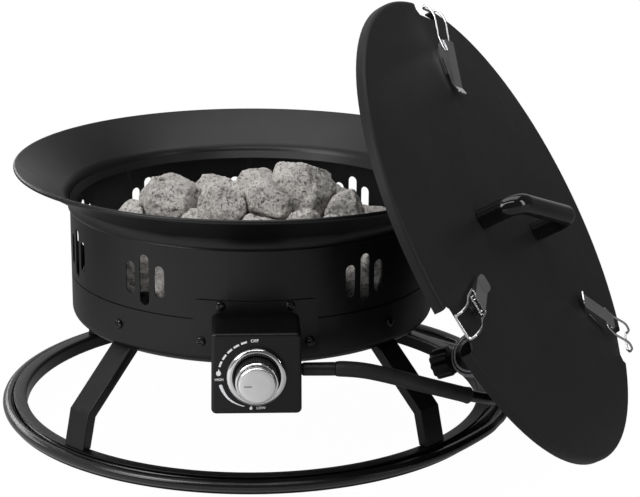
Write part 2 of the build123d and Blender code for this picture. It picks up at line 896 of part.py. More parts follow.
regulator_mid = Vector(regulator_at)
outlet_end = regulator_mid + Vector(outlet_way).normalized() * (outlet_l + seat)
tail_points = [
    tuple(winding_end),
    tuple(winding_end + winding_way * 30.0),
    (263.5, -52.0, 14.5),
    tuple(outlet_end + Vector(outlet_way).normalized() * 13.0),
    tuple(outlet_end),
]
with BuildPart() as hose_tail:
    add(tube(tail_points, easy_bends(tail_points), hose_r))
save(hose_tail, "hose_tail")

# Regulator: a crimped disc with its outlet barb, cap, inlet and tank nut
regulator_shaft = shaft(regulator_mid, regulator_axis)
outlet_shaft = shaft(regulator_mid, outlet_way)
inlet_shaft = shaft(regulator_mid, inlet_way)
half_deep = regulator_deep / 2
with BuildPart() as regulator_body:
    add(
        turned(
            regulator_shaft,
            [
                (0, -half_deep),
                (regulator_r * 0.7, -half_deep),
                (regulator_r, -half_deep * 0.4),
                (regulator_rim_r, -seat - regulator_rim_h),
                (regulator_rim_r, -seat),
                (0, -seat),
            ],
        )
    )
    with BuildSketch(section(outlet_shaft, regulator_r * 0.6)):
        Circle(outlet_r)
    extrude(amount=outlet_l - regulator_r * 0.6)
    with BuildSketch(section(inlet_shaft, regulator_r * 0.6)):
        Circle(inlet_r)
    extrude(amount=nut_from - regulator_r * 0.6 - 1.0)
    with BuildSketch(section(regulator_shaft, -seat)):
        Circle(regulator_rim_r + 2.0)
    extrude(amount=regulator_deep, mode=Mode.SUBTRACT)
save(regulator_body, "regulator_body")

with BuildPart() as regulator_cap:
    add(
        turned(
            regulator_shaft,
            [
                (0, seat),
                (regulator_rim_r, seat),
                (regulator_rim_r, regulator_rim_h),
                (regulator_r, regulator_rim_h + 1.0),
                (regulator_r * 0.55, half_deep),
                (regulator_r * 0.5, half_deep + 3.0),
                (0, half_deep + 3.0),
            ],
        )
    )
save(regulator_cap, "regulator_cap")

nipple_r = 6.0
with BuildPart() as regulator_inlet:
    add(
        turned(
            inlet_shaft,
            [
                (0, nut_from - 1.0 + seat),
                (nipple_r, nut_from - 1.0 + seat),
                (nipple_r, nut_from + nut_l - 4.0),
                (nipple_r + 2.0, nut_from + nut_l - 3.6),
                (nipple_r + 2.0, nut_from + nut_l - 1.0),
                (nipple_r - 2.0, nut_from + nut_l + 3.0),
                (0, nut_from + nut_l + 3.0),
            ],
        )
    )
save(regulator_inlet, "regulator_inlet")

with BuildPart() as tank_nut:
    add(
        turned(
            inlet_shaft,
            [
                (nipple_r + slip, nut_from),
                (nut_r, nut_from),
                (nut_r, nut_from + nut_l),
                (nipple_r + 5.0, nut_from + nut_l),
                (nipple_r + 5.0, nut_from + nut_l - 5.0),
                (nipple_r + slip, nut_from + nut_l - 5.0),
            ],
        )
    )
    with BuildSketch(section(inlet_shaft, nut_from)):
        with PolarLocations(nut_r + nut_lobe_r * 0.35, nut_lobes):
            Circle(nut_lobe_r)
    extrude(amount=nut_l - 3.0, mode=Mode.SUBTRACT)
save(tank_nut, "tank_nut")

# Lid frame: n is the outer face's normal, X the handle's direction
lean = radians(lid_lean)
facing_way = radians(lid_azimuth)
lid_n = Vector(cos(lean) * cos(facing_way), cos(lean) * sin(facing_way), sin(lean))
level = Vector(-sin(facing_way), cos(facing_way), 0)
lid_x = level * cos(radians(lid_spin)) + lid_n.cross(level) * sin(radians(lid_spin))
lid_y = lid_n.cross(lid_x)
lid_plane = Plane(lid_at, x_dir=lid_x, z_dir=lid_n)
lid_shaft = Plane(lid_at, x_dir=lid_x, z_dir=lid_x.cross(lid_n))


def on_lid(x, y, height=0.0):
    return Vector(lid_at) + lid_x * x + lid_y * y + lid_n * height


handle_posts = (handle_shift - handle_span / 2, handle_shift + handle_span / 2)
with BuildPart() as lid_disc:
    with BuildSketch(lid_shaft):
        with BuildLine():
            top = Line((0, 0), (lid_r - lid_corner_r, 0))
            CenterArc((lid_r - lid_corner_r, -lid_corner_r), lid_corner_r, 90, -90)
            Polyline(
                (lid_r, -lid_corner_r),
                (lid_r, -lid_skirt),
                (lid_r - lid_sheet, -lid_skirt),
                (lid_r - lid_sheet, -lid_corner_r),
            )
            CenterArc((lid_r - lid_corner_r, -lid_corner_r), lid_corner_r - lid_sheet, 0, 90)
            Polyline((lid_r - lid_corner_r, -lid_sheet), (0, -lid_sheet), (0, 0))
        make_face()
    revolve(axis=Axis(lid_plane.origin, lid_n))
    with BuildSketch(lid_plane):
        with Locations(*[(x, 0) for x in handle_posts]):
            Circle(handle_screw_d / 2 + slip)
    extrude(amount=-lid_sheet, mode=Mode.SUBTRACT)
    notch_r = lid_r - lid_notch_deep
    for angle in latch_angles:
        outward = lid_x * cos(radians(angle)) + lid_y * sin(radians(angle))
        notch = [
            (notch_r, lid_notch_corner - lid_notch_half_w),
            (notch_r + lid_notch_corner, -lid_notch_half_w),
            (lid_r + lid_corner_r, -lid_notch_half_w),
            (lid_r + lid_corner_r, lid_notch_half_w),
            (notch_r + lid_notch_corner, lid_notch_half_w),
            (notch_r, lid_notch_half_w - lid_notch_corner),
        ]
        notch_plane = Plane(lid_at, x_dir=outward, z_dir=lid_n)
        extrude(ring_profile(notch_plane, notch), amount=2 * lid_skirt, both=True, mode=Mode.SUBTRACT)
save(lid_disc, "lid_disc")

handle_bore = handle_screw_l - lid_sheet
handle_points = [
    tuple(on_lid(handle_posts[0], 0, seat)),
    tuple(on_lid(handle_posts[0], 0, handle_rise)),
    tuple(on_lid(handle_posts[1], 0, handle_rise)),
    tuple(on_lid(handle_posts[1], 0, seat)),
]
with BuildPart() as lid_handle:
    add(tube(handle_points, [handle_bend_r, handle_bend_r], handle_d / 2))
    with BuildSketch(lid_plane):
        with Locations(*[(x, 0) for x in handle_posts]):
            Circle(handle_screw_d / 2 + seat)
    extrude(amount=handle_bore + slip, mode=Mode.SUBTRACT)
save(lid_handle, "lid_handle")

with BuildPart() as handle_screws:
    with BuildSketch(lid_plane.offset(-lid_sheet - seat)):
        with Locations(*[(x, 0) for x in handle_posts]):
            Circle(handle_screw_head_d / 2)
    extrude(amount=-handle_screw_head_h)
    with BuildSketch(lid_plane.offset(-lid_sheet - seat - handle_screw_head_h / 2)):
        with Locations(*[(x, 0) for x in handle_posts]):
            Circle(handle_screw_d / 2)
    extrude(amount=handle_screw_l + handle_screw_head_h / 2)
save(handle_screws, "handle_screws")

# Latches: a base with ears and a pin, a channel lever, and a wire bail that hooks under the rim
latch_pins = []
latch_rivets = []
for number, (angle, tilt) in enumerate(zip(latch_angles, bail_tilts), start=1):
    outward = lid_x * cos(radians(angle)) + lid_y * sin(radians(angle))
    across = outward.cross(lid_n)
    foot = Vector(lid_at) + outward * hinge_r
    hinge_at = foot + lid_n * hinge_h
    foot_plane = Plane(foot, x_dir=outward, z_dir=across)
    pin_plane = Plane(hinge_at, x_dir=outward, z_dir=across)

    with BuildPart() as latch_base:
        extrude(
            ring_profile(
                foot_plane,
                [
                    (-base_back, seat),
                    (-ear_r, seat),
                    (-ear_r, base_sheet + seat),
                    (-base_back, base_sheet + seat),
                ],
            ),
            amount=base_half_w, both=True,
        )
        with BuildSketch(foot_plane.offset(base_half_w - base_sheet)):
            with BuildLine():
                Polyline(
                    (-13.0, seat),
                    (-ear_r, seat),
                    (-ear_r * 0.4, hinge_h - ear_r * 0.9),
                    (0, hinge_h),
                    (-ear_r * 0.4, hinge_h + ear_r * 0.9),
                    (-13.0, hinge_h - 3.0),
                    close=True,
                )
            make_face()
            with Locations((0, hinge_h)):
                Circle(ear_r)
                Circle(pin_r + seat / 2, mode=Mode.SUBTRACT)
        extrude(amount=base_sheet)
        mirror(about=foot_plane)
        with BuildSketch(Plane(foot, x_dir=outward, z_dir=lid_n)):
            with Locations(*[(-place, 0) for place in rivet_places]):
                Circle(rivet_r * 0.7)
        extrude(amount=2 * base_sheet, mode=Mode.SUBTRACT)
    save(latch_base, f"latch_base_{number}")

    with BuildPart() as pin:
        with BuildSketch(pin_plane):
            Circle(pin_r)
        extrude(amount=lever_half_w + 0.9, both=True)
        with BuildSketch(pin_plane.offset(lever_half_w + 0.2)):
            Circle(pin_r + 1.0)
        extrude(amount=0.7)
        with BuildSketch(pin_plane.offset(-lever_half_w - 0.2)):
            Circle(pin_r + 1.0)
        extrude(amount=-0.7)
    latch_pins.append(pin.part)

    with BuildPart() as rivet:
        with BuildSketch(Plane(foot + lid_n * (base_sheet + 2 * seat), x_dir=outward, z_dir=lid_n)):
            with Locations(*[(-place, 0) for place in rivet_places]):
                Circle(rivet_r)
        extrude(amount=rivet_h)
        heads = rivet.edges().group_by(Axis(foot, lid_n))[-1]
        fillet(heads, rivet_h * 0.6)
    latch_rivets.append(rivet.part)

    lever_plane = pin_plane
    tip_up = lever_rise - lever_fall
    with BuildPart() as latch_lever:
        extrude(
            ring_profile(
                lever_plane,
                [
                    (lever_nose, lever_rise),
                    (-lever_len, tip_up),
                    (-lever_len - lever_thumb, tip_up + lever_thumb_up),
                    (-lever_len - lever_thumb - 0.4, tip_up + lever_thumb_up - lever_sheet),
                    (-lever_len, tip_up - lever_sheet),
                    (lever_nose, lever_rise - lever_sheet),
                ],
            ),
            amount=lever_half_w, both=True,
        )
        thumb_end = latch_lever.edges().sort_by(Axis(hinge_at, outward))[:4]
        fillet([edge for edge in thumb_end if edge.length < 2 * lever_sheet], lever_thumb_r)
        with BuildSketch(lever_plane.offset(lever_half_w - lever_sheet)):
            with BuildLine():
                Polyline(
                    (lever_nose, lever_rise),
                    (-lever_len, tip_up),
                    (-lever_len + 2.0, tip_up - 2.0),
                    (-2 * bail_back, -lever_skirt),
                    (0, -lever_skirt),
                    (lever_nose, -lever_skirt + 2.0),
                    close=True,
                )
            make_face()
            Circle(pin_hole_r, mode=Mode.SUBTRACT)
            with Locations((-bail_back, bail_lift)):
                Circle(wire_hole_r, mode=Mode.SUBTRACT)
        extrude(amount=lever_sheet)
        mirror(about=lever_plane)
    save(latch_lever, f"latch_lever_{number}")

    bail_at = lever_plane.from_local_coords((-bail_back, bail_lift, 0))
    bail_way = outward * cos(radians(tilt)) + lid_n * sin(radians(tilt))
    bail_plane = Plane(bail_at, x_dir=bail_way, z_dir=across)
    half = [
        (0, 0, lever_half_w - 1.6),
        (0, 0, wire_half_w),
        (bail_reach * 0.3, -0.5, wire_half_w),
        (bail_reach * 0.72, 4.5, wire_half_w),
        (bail_reach, 0.5, wire_half_w),
        (bail_reach - 1.5, -bail_hook, wire_half_w),
    ]
    other = [(x, y, -z) for x, y, z in reversed(half)]
    wire_points = [tuple(bail_plane.from_local_coords(point)) for point in half + other]
    half_bends = [1.8, 24.0, 24.0, 5.0, 4.0]
    with BuildPart() as latch_bail:
        add(tube(wire_points, half_bends + half_bends[::-1], wire_r))
    save(latch_bail, f"latch_bail_{number}")

with BuildPart() as all_pins:
    add(latch_pins)
save(all_pins, "latch_pins")

with BuildPart() as all_rivets:
    add(latch_rivets)
save(all_rivets, "latch_rivets")

# Lava rocks: x, y, middle height, half size. Each one is cut back half-way to its neighbours
rock_gap = 0.3
rock_floor = tray_z + sheet + slip
rock_over_burner = burner_z + burner_tube_r + slip
rock_wall = wall_in_r - 4.0
top_rocks = [
    (-84, -24, 216, 33),
    (-120, -36, 207, 18),
    (-58, -78, 206, 20),
    (-40, 32, 206, 27),
    (-29, -45, 217, 28),
    (-14, 6, 216, 20),
    (13, -40, 219, 28),
    (8, 48, 211, 26),
    (51, -4, 221, 37),
    (92, -20, 208, 24),
    (90, 30, 203, 20),
    (50, -78, 208, 20),
    (79, -86, 206, 17),
    (44, 62, 200, 24),
    (-90, 44, 163, 28),
]
low_count = 11
low_turn = 8.0
low_r = 136.0
low_front = (168.0, 42.0)   # middle height and half size at the front, at the sides and at the back
low_side = (157.0, 40.0)
low_back = (146.0, 28.0)
low_rocks = []
for step in range(low_count):
    turn = 360 / low_count * step + low_turn
    height, size = low_front if cos(radians(turn)) > 0.3 else low_side if cos(radians(turn)) > -0.3 else low_back
    spot = at(turn, low_r, height + 4 * sin(step * 2.1))
    low_rocks.append((spot.X, spot.Y, spot.Z, size))
core_rocks = [(-58, 0, 186, 34), (0, 58, 178, 32), (58, 4, 186, 34), (4, -58, 186, 34), (0, 0, 183, 28)]
under_rocks = [(at(turn, 52).X, at(turn, 52).Y, 158, 30) for turn in (30, 120, 210, 300)]
rocks = top_rocks + low_rocks + core_rocks + under_rocks
golden = 2.399963
facets = 13
all_rocks = []
for index, (x, y, z, size) in enumerate(rocks):
    here = Vector(x, y, z)
    cuts = []
    for facet in range(facets):
        height = 1 - (2 * facet + 1) / facets
        around = facet * golden + index * 1.7
        level_part = (1 - height * height) ** 0.5
        way = Vector(level_part * cos(around), level_part * sin(around), height)
        reach = size * (0.90 + 0.10 * sin(3.1 * facet + 1.3 * index))
        cuts.append((here + way * reach, way))
    for other_index, (other_x, other_y, other_z, other_size) in enumerate(rocks):
        there = Vector(other_x, other_y, other_z)
        apart = (there - here).length
        if other_index == index or apart > 1.2 * (size + other_size):
            continue
        reach = apart / 2 + (size * size - other_size * other_size) / (2 * apart) - rock_gap
        cuts.append((here + (there - here).normalized() * reach, (there - here).normalized()))
    on_burner = abs((x * x + y * y) ** 0.5 - burner_ring_r) < size + burner_tube_r
    lowest = rock_over_burner if on_burner else rock_floor
    cuts.append((Vector(x, y, lowest), Vector(0, 0, -1)))
    if (x * x + y * y) ** 0.5 > 1:
        away = Vector(x, y, 0).normalized()
        cuts.append((away * rock_wall, away))
    with BuildPart() as rock:
        with Locations(here):
            Box(2 * size, 2 * size, 2 * size)
        for spot, way in cuts:
            split(bisect_by=Plane(spot, z_dir=way), keep=Keep.BOTTOM)
    all_rocks.append(rock.part)

with BuildPart() as lava_rocks:
    for stone in all_rocks:
        add(stone)
save(lava_rocks, "lava_rocks")
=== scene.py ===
import json
from math import asin, cos, pi, radians, sin, sqrt

import bmesh
import bpy
from mathutils import Matrix, Vector, noise


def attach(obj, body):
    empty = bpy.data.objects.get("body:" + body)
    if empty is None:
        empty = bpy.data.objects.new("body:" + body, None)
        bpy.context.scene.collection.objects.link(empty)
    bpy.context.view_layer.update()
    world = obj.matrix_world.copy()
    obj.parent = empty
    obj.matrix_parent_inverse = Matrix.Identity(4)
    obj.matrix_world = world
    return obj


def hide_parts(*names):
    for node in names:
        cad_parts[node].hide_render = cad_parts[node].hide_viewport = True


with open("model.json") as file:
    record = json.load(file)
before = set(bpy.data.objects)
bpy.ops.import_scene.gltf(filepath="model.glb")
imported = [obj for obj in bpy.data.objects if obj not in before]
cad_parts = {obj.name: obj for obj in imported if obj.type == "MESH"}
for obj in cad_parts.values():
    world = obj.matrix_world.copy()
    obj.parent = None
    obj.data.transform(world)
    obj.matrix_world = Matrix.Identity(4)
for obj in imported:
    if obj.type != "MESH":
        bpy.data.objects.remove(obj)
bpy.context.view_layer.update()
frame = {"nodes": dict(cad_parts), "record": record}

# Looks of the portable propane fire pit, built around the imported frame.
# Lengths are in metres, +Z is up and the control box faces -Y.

nodes = frame["nodes"]
record = frame["record"]
body_of = {node: body for body, members in record["behaviour"]["bodies"].items() for node in members}
MM = 0.001

# Main sizes shared with the frame
hose_d = 11.2 * MM
hose_z = 7.4 * MM
lap_inner_r = 243.5 * MM
lap_outer_r = 255.3 * MM
lap_bulge = 34.0 * MM
box_face_y = -241.0 * MM
knob_z = 111.4 * MM
centre = (0, 0, 0)
upward = (0, 0, 1)

# Limits for work on meshes
weld = 2e-6                 # points nearer than this become one
flat_turn = radians(0.4)    # faces that turn less than this become one
edge_turn = radians(40)     # edges that turn more than this are softened
cut_edge = 4 * MM           # faces of sheet narrower than this are its cut edges
line_steps = 10             # points of a smooth line for each point that controls it


def put(name, data):
    """A new object in the scene."""
    item = bpy.data.objects.new(name, data)
    bpy.context.scene.collection.objects.link(item)
    return item


def evaluated(holder):
    """The mesh that an object's curve or modifiers make. The object itself is removed."""
    depsgraph = bpy.context.evaluated_depsgraph_get()
    mesh = bpy.data.meshes.new_from_object(holder.evaluated_get(depsgraph))
    bpy.data.objects.remove(holder)
    return mesh


def at(angle, radius, height=0.0):
    """The point at an angle in degrees from the front, counter-clockwise seen from above."""
    return Vector((radius * sin(radians(angle)), -radius * cos(radians(angle)), height))


def in_metres(points):
    """Points that are given in millimetres."""
    return [Vector(point) * MM for point in points]


# Camera, fitted to the photograph's frame of 640 by 497
camera_at = Vector((-0.0263, -1.8748, 0.7117))
camera_forward = Vector((0.0491, 0.9585, -0.2809))
camera_right = Vector((0.9988, -0.0487, 0.0083))
focal_px = 1888.1
image_w = 640
sensor_w = 36.0

camera = put("camera", bpy.data.cameras.new("camera"))
camera.data.sensor_fit = "HORIZONTAL"
camera.data.sensor_width = sensor_w
camera.data.lens = focal_px / image_w * sensor_w
forward = camera_forward.normalized()
right = (camera_right - forward * camera_right.dot(forward)).normalized()
up = right.cross(forward)
camera.matrix_world = Matrix.Translation(camera_at) @ Matrix((right, up, -forward)).transposed().to_4x4()
bpy.context.scene.camera = camera


# Shader nodes
def add_node(tree, kind, inputs, **settings):
    """A shader node with its settings. Each input is a value, or another node's output to be linked."""
    node = tree.nodes.new(kind)
    for name, value in settings.items():
        setattr(node, name, value)
    for socket, value in inputs.items():
        if isinstance(value, bpy.types.NodeSocket):
            tree.links.new(value, node.inputs[socket])
        else:
            node.inputs[socket].default_value = value
    return node


def combine(tree, operation, first, second):
    return add_node(tree, "ShaderNodeMath", {0: first, 1: second}, operation=operation).outputs["Value"]


def spread(tree, value, low, high):
    """A value from 0 to 1, carried over to the range from low to high."""
    inputs = {"Value": value, "To Min": low, "To Max": high}
    return add_node(tree, "ShaderNodeMapRange", inputs).outputs["Result"]


def ease(tree, value, start, end, low, high):
    """Goes smoothly from low to high while the value goes from start to end."""
    inputs = {"Value": value, "From Min": start, "From Max": end, "To Min": low, "To Max": high}
    node = add_node(tree, "ShaderNodeMapRange", inputs, interpolation_type="SMOOTHSTEP")
    return node.outputs["Result"]


# Materials
class Look:
    """A Principled material with helpers that wire procedural detail in object space."""

    def __init__(self, name, colour, roughness, metallic=0.0, specular=0.5):
        self.material = bpy.data.materials.new(name)
        self.material.use_nodes = True
        self.tree = self.material.node_tree
        self.shader = self.tree.nodes["Principled BSDF"]
        self.set("Base Color", (*colour, 1.0))
        self.set("Roughness", roughness)
        self.set("Metallic", metallic)
        self.set("Specular IOR Level", specular)
        self.coords = self.tree.nodes.new("ShaderNodeTexCoord")
        self.last_bump = None

    def set(self, socket, value):
        self.shader.inputs[socket].default_value = value

    def link(self, output, socket):
        self.tree.links.new(output, self.shader.inputs[socket])

    def noise(self, scale, detail=3.0, rough=0.55, distortion=0.0):
        inputs = {"Vector": self.coords.outputs["Object"], "Scale": scale, "Distortion": distortion}
        inputs.update({"Detail": detail, "Roughness": rough})
        return add_node(self.tree, "ShaderNodeTexNoise", inputs).outputs["Fac"]

    def cells(self, scale):
        inputs = {"Vector": self.coords.outputs["Object"], "Scale": scale}
        return add_node(self.tree, "ShaderNodeTexVoronoi", inputs).outputs["Distance"]

    def spread(self, value, low, high):
        return spread(self.tree, value, low, high)

    def math(self, operation, first, second):
        return combine(self.tree, operation, first, second)

    def tint(self, value, stops):
        node = add_node(self.tree, "ShaderNodeValToRGB", {"Fac": value})
        elements = node.color_ramp.elements
        while len(elements) < len(stops):
            elements.new(0.5)
        for element, (place, colour) in zip(elements, stops):
            element.position = place
            element.color = (*colour, 1.0)
        self.link(node.outputs["Color"], "Base Color")

    def gloss(self, value, low, high):
        self.link(self.spread(value, low, high), "Roughness")

    def bump(self, value, distance, strength):
        inputs = {"Height": value, "Distance": distance, "Strength": strength}
        if self.last_bump:
            inputs["Normal"] = self.last_bump
        self.last_bump = add_node(self.tree, "ShaderNodeBump", inputs).outputs["Normal"]
        self.link(self.last_bump, "Normal")


def powder_coat(name, dark, light, rough, specular):
    """Sprayed and baked paint: a fine orange peel, with slow changes of tone and gloss."""
    look = Look(name, dark, rough, specular=specular)
    look.tint(look.noise(7.0, 2.0), [(0.3, dark), (0.7, light)])
    look.gloss(look.noise(60.0, 3.0), rough - 0.05, rough + 0.05)
    look.bump(look.noise(1500.0, 2.0), 0.00012, 0.25)
    look.bump(look.noise(260.0, 2.0), 0.0002, 0.12)
    return look.material


def plain_look(name, colour, rough, tint, gloss, bump=None, metallic=0.0, specular=0.5):
    """A finish with changes of tone and gloss, and a fine unevenness where a bump is given.

    tint is (scale, dark, light) and gloss is (scale, low, high).
    bump is (scale, detail, distance, strength)."""
    look = Look(name, colour, rough, metallic, specular)
    tint_scale, dark, light = tint
    look.tint(look.noise(tint_scale), [(0.3, dark), (0.7, light)])
    gloss_scale, low, high = gloss
    look.gloss(look.noise(gloss_scale), low, high)
    if bump:
        bump_scale, detail, distance, strength = bump
        look.bump(look.noise(bump_scale, detail), distance, strength)
    return look.material


body_paint = powder_coat("body_powder_coat", (0.0044, 0.0044, 0.0051), (0.0062, 0.0062, 0.0071), 0.34, 0.34)
lid_paint = powder_coat("lid_powder_coat", (0.0136, 0.0125, 0.0134), (0.0164, 0.0151, 0.0162), 0.44, 0.14)
handle_black = plain_look(
    "handle_gloss_black",
    (0.004, 0.004, 0.0045),
    0.07,
    tint=(30.0, (0.0035, 0.0035, 0.004), (0.006, 0.006, 0.0065)),
    gloss=(120.0, 0.05, 0.10),
    bump=(90.0, 3.0, 0.0001, 0.10),
)
screw_black = plain_look(
    "screw_black_oxide",
    (0.004, 0.004, 0.0045),
    0.10,
    tint=(200.0, (0.003, 0.003, 0.0035), (0.006, 0.006, 0.0066)),
    gloss=(500.0, 0.06, 0.14),
)
chrome = plain_look(
    "bright_chrome",
    (0.80, 0.80, 0.81),
    0.08,
    tint=(45.0, (0.74, 0.74, 0.75), (0.84, 0.84, 0.85)),
    gloss=(300.0, 0.05, 0.13),
    bump=(70.0, 3.0, 0.0002, 0.08),
    metallic=1.0,
)
silver = plain_look(
    "satin_silver",
    (0.88, 0.88, 0.89),
    0.34,
    tint=(80.0, (0.86, 0.86, 0.87), (0.92, 0.92, 0.93)),
    gloss=(900.0, 0.28, 0.42),
    bump=(2200.0, 1.0, 0.00004, 0.25),
    metallic=1.0,
)
steel = plain_look(
    "brushed_steel",
    (0.42, 0.42, 0.43),
    0.35,
    tint=(25.0, (0.34, 0.34, 0.35), (0.48, 0.47, 0.46)),
    gloss=(400.0, 0.25, 0.45),
    metallic=1.0,
)
zinc = plain_look(
    "zinc_plate",
    (0.90, 0.90, 0.91),
    0.32,
    tint=(70.0, (0.86, 0.86, 0.87), (0.93, 0.93, 0.94)),
    gloss=(380.0, 0.24, 0.40),
    specular=0.8,
)
brass = plain_look(
    "machined_brass",
    (0.60, 0.44, 0.19),
    0.30,
    tint=(60.0, (0.52, 0.37, 0.15), (0.66, 0.50, 0.23)),
    gloss=(350.0, 0.22, 0.40),
    metallic=1.0,
)
black_plastic = plain_look(
    "moulded_black",
    (0.010, 0.010, 0.011),
    0.42,
    tint=(90.0, (0.008, 0.008, 0.009), (0.016, 0.016, 0.017)),
    gloss=(700.0, 0.36, 0.50),
    bump=(1100.0, 3.0, 0.00006, 0.3),
    specular=0.4,
)
cast_alloy = plain_look(
    "dark_cast_alloy",
    (0.03, 0.03, 0.032),
    0.42,
    tint=(70.0, (0.018, 0.018, 0.02), (0.05, 0.05, 0.052)),
    gloss=(500.0, 0.35, 0.5),
    bump=(900.0, 3.0, 0.0001, 0.4),
    metallic=0.6,
)
sleeve_rubber = plain_look(
    "sleeve_rubber",
    (0.012, 0.012, 0.0125),
    0.55,
    tint=(55.0, (0.010, 0.010, 0.0105), (0.018, 0.018, 0.019)),
    gloss=(260.0, 0.48, 0.62),
    bump=(420.0, 3.0, 0.0002, 0.25),
    specular=0.4,
)

ink = Look("white_print", (0.86, 0.86, 0.87), 0.5)
ink.tint(ink.noise(900.0), [(0.25, (0.78, 0.78, 0.79)), (0.6, (0.88, 0.88, 0.89))])
white_ink = ink.material


def braided_hose():
    """Rubber hose with a fine textile braid pressed into its skin.

    In its UVs, X goes round the hose and Y is metres along it."""
    look = Look("hose_braid", (0.005, 0.005, 0.0055), 0.16, specular=0.62)
    split = add_node(look.tree, "ShaderNodeSeparateXYZ", {"Vector": look.coords.outputs["UV"]}).outputs
    strands = 14
    pitch = 0.0115
    turn = look.math("MULTIPLY", split["X"], strands * 2 * pi)
    travel = look.math("MULTIPLY", split["Y"], 2 * pi * strands / (pitch * 4))
    one = look.math("SINE", look.math("ADD", turn, travel), 0.0)
    two = look.math("SINE", look.math("SUBTRACT", turn, travel), 0.0)
    weave = look.math("MULTIPLY", one, two)
    look.bump(weave, 0.00030, 0.14)
    look.tint(look.noise(40.0), [(0.3, (0.004, 0.004, 0.0045)), (0.7, (0.007, 0.007, 0.0075))])
    look.gloss(look.noise(200.0), 0.11, 0.22)
    return look.material


def lava_stone():
    """Pale warm-grey lava: fine rough grain and soft patches, with small open pores whose colour is darkened
    as painted shade.
    """
    look = Look("lava_stone", (0.40, 0.38, 0.36), 0.95, specular=0.12)
    grain = look.noise(620.0, 6.0, 0.7)
    patches = look.noise(40.0, 4.0)
    ragged = look.noise(330.0, 5.0, 0.65, distortion=0.8)
    hollows = look.math("MINIMUM", look.spread(ragged, -2.2, 4.6), 1.0)
    dots = look.math("MINIMUM", look.math("MULTIPLY", look.cells(430.0), 3.2), 1.0)
    pore_depth_and_painted_shade = look.math("MAXIMUM", look.math("MULTIPLY", hollows, dots), 0.0)
    mixed = look.math("MULTIPLY", look.spread(grain, 0.55, 1.30), look.spread(patches, 0.78, 1.16))
    # Painted shade: the tone drops in the pores, where light reaches less; the same mask sinks them with the
    # bump below.
    tone = look.math("MULTIPLY", mixed, look.spread(pore_depth_and_painted_shade, 0.24, 1.0))
    stops = [
        (0.10, (0.060, 0.056, 0.052)),
        (0.40, (0.21, 0.198, 0.185)),
        (0.70, (0.41, 0.392, 0.37)),
        (1.0, (0.60, 0.576, 0.55)),
    ]
    look.tint(tone, stops)
    look.bump(pore_depth_and_painted_shade, 0.0013, 0.75)
    look.bump(grain, 0.0011, 0.7)
    return look.material


hose_braid = braided_hose()
lava = lava_stone()


# Meshes
def dress(piece, material, smooth_angle):
    piece.data.materials.clear()
    piece.data.materials.append(material)
    piece.data.polygons.foreach_set("use_smooth", [True] * len(piece.data.polygons))
    piece.data.set_sharp_from_angle(angle=radians(smooth_angle))


def add_mesh(name, verts, faces, material, body, smooth_angle=35.0):
    mesh = bpy.data.meshes.new(name)
    mesh.from_pydata([tuple(v) for v in verts], [], faces)
    mesh.validate()
    work = bmesh.new()
    work.from_mesh(mesh)
    bmesh.ops.recalc_face_normals(work, faces=work.faces)
    work.to_mesh(mesh)
    work.free()
    piece = put(name, mesh)
    dress(piece, material, smooth_angle)
    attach(piece, body)
    return piece


def refine(node, material, edge=0.0, smooth_angle=30.0, bend=0.0):
    """A copy of a CAD node with joined faces, softened edges and its own finish, shown in the node's place.

    bend rounds the folds of pressed sheet more than its cut edges."""
    mesh = bpy.data.meshes.new(f"{node}_skin")
    work = bmesh.new()
    work.from_mesh(nodes[node].data)
    bmesh.ops.remove_doubles(work, verts=work.verts, dist=weld)
    bmesh.ops.dissolve_limit(work, angle_limit=flat_turn, verts=work.verts, edges=work.edges)
    bmesh.ops.recalc_face_normals(work, faces=work.faces)
    if bend:
        weight = work.edges.layers.float.new("bevel_weight_edge")
        for line in work.edges:
            if len(line.link_faces) == 2 and line.is_convex and line.calc_face_angle() > edge_turn:
                narrow = min(face.calc_area() for face in line.link_faces) / line.calc_length()
                line[weight] = 1.0 if narrow > cut_edge else 0.0
    work.to_mesh(mesh)
    work.free()
    piece = put(f"{node}_skin", mesh)
    dress(piece, material, smooth_angle)
    if bend:
        fold = piece.modifiers.new("folds", "BEVEL")
        fold.limit_method = "WEIGHT"
        fold.width = bend
        fold.segments = 4
    if edge:
        bevel = piece.modifiers.new("soft_edges", "BEVEL")
        bevel.width = edge
        bevel.segments = 2
        bevel.limit_method = "ANGLE"
        bevel.angle_limit = edge_turn
        bevel.use_clamp_overlap = True
    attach(piece, body_of[node])
    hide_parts(node)
    return piece


def stand_for(piece, *replaced):
    """The piece is shown in place of CAD nodes, which are hidden."""
    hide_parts(*replaced)
    return piece


def axis_frame(axis):
    """An axis as a unit vector, with two unit vectors square to it."""
    way = Vector(axis).normalized()
    side = way.orthogonal().normalized()
    return way, side, way.cross(side)


def lathe(name, profile, origin, axis, material, body, steps=128, smooth_angle=30.0):
    """A closed profile of (radius, height) pairs turned about an axis."""
    way, side, other = axis_frame(axis)
    verts = []
    faces = []
    count = len(profile)
    for step in range(steps):
        turn = 2 * pi * step / steps
        out = side * cos(turn) + other * sin(turn)
        for radius, height in profile:
            verts.append(Vector(origin) + out * radius + way * height)
    for step in range(steps):
        here = step * count
        ahead = (step + 1) % steps * count
        for index in range(count):
            onward = (index + 1) % count
            faces.append((here + index, here + onward, ahead + onward, ahead + index))
    piece = add_mesh(name, verts, faces, material, body, smooth_angle)
    work = bmesh.new()
    work.from_mesh(piece.data)
    bmesh.ops.remove_doubles(work, verts=work.verts, dist=weld)
    bmesh.ops.recalc_face_normals(work, faces=work.faces)
    work.to_mesh(piece.data)
    work.free()
    dress(piece, material, smooth_angle)
    return piece


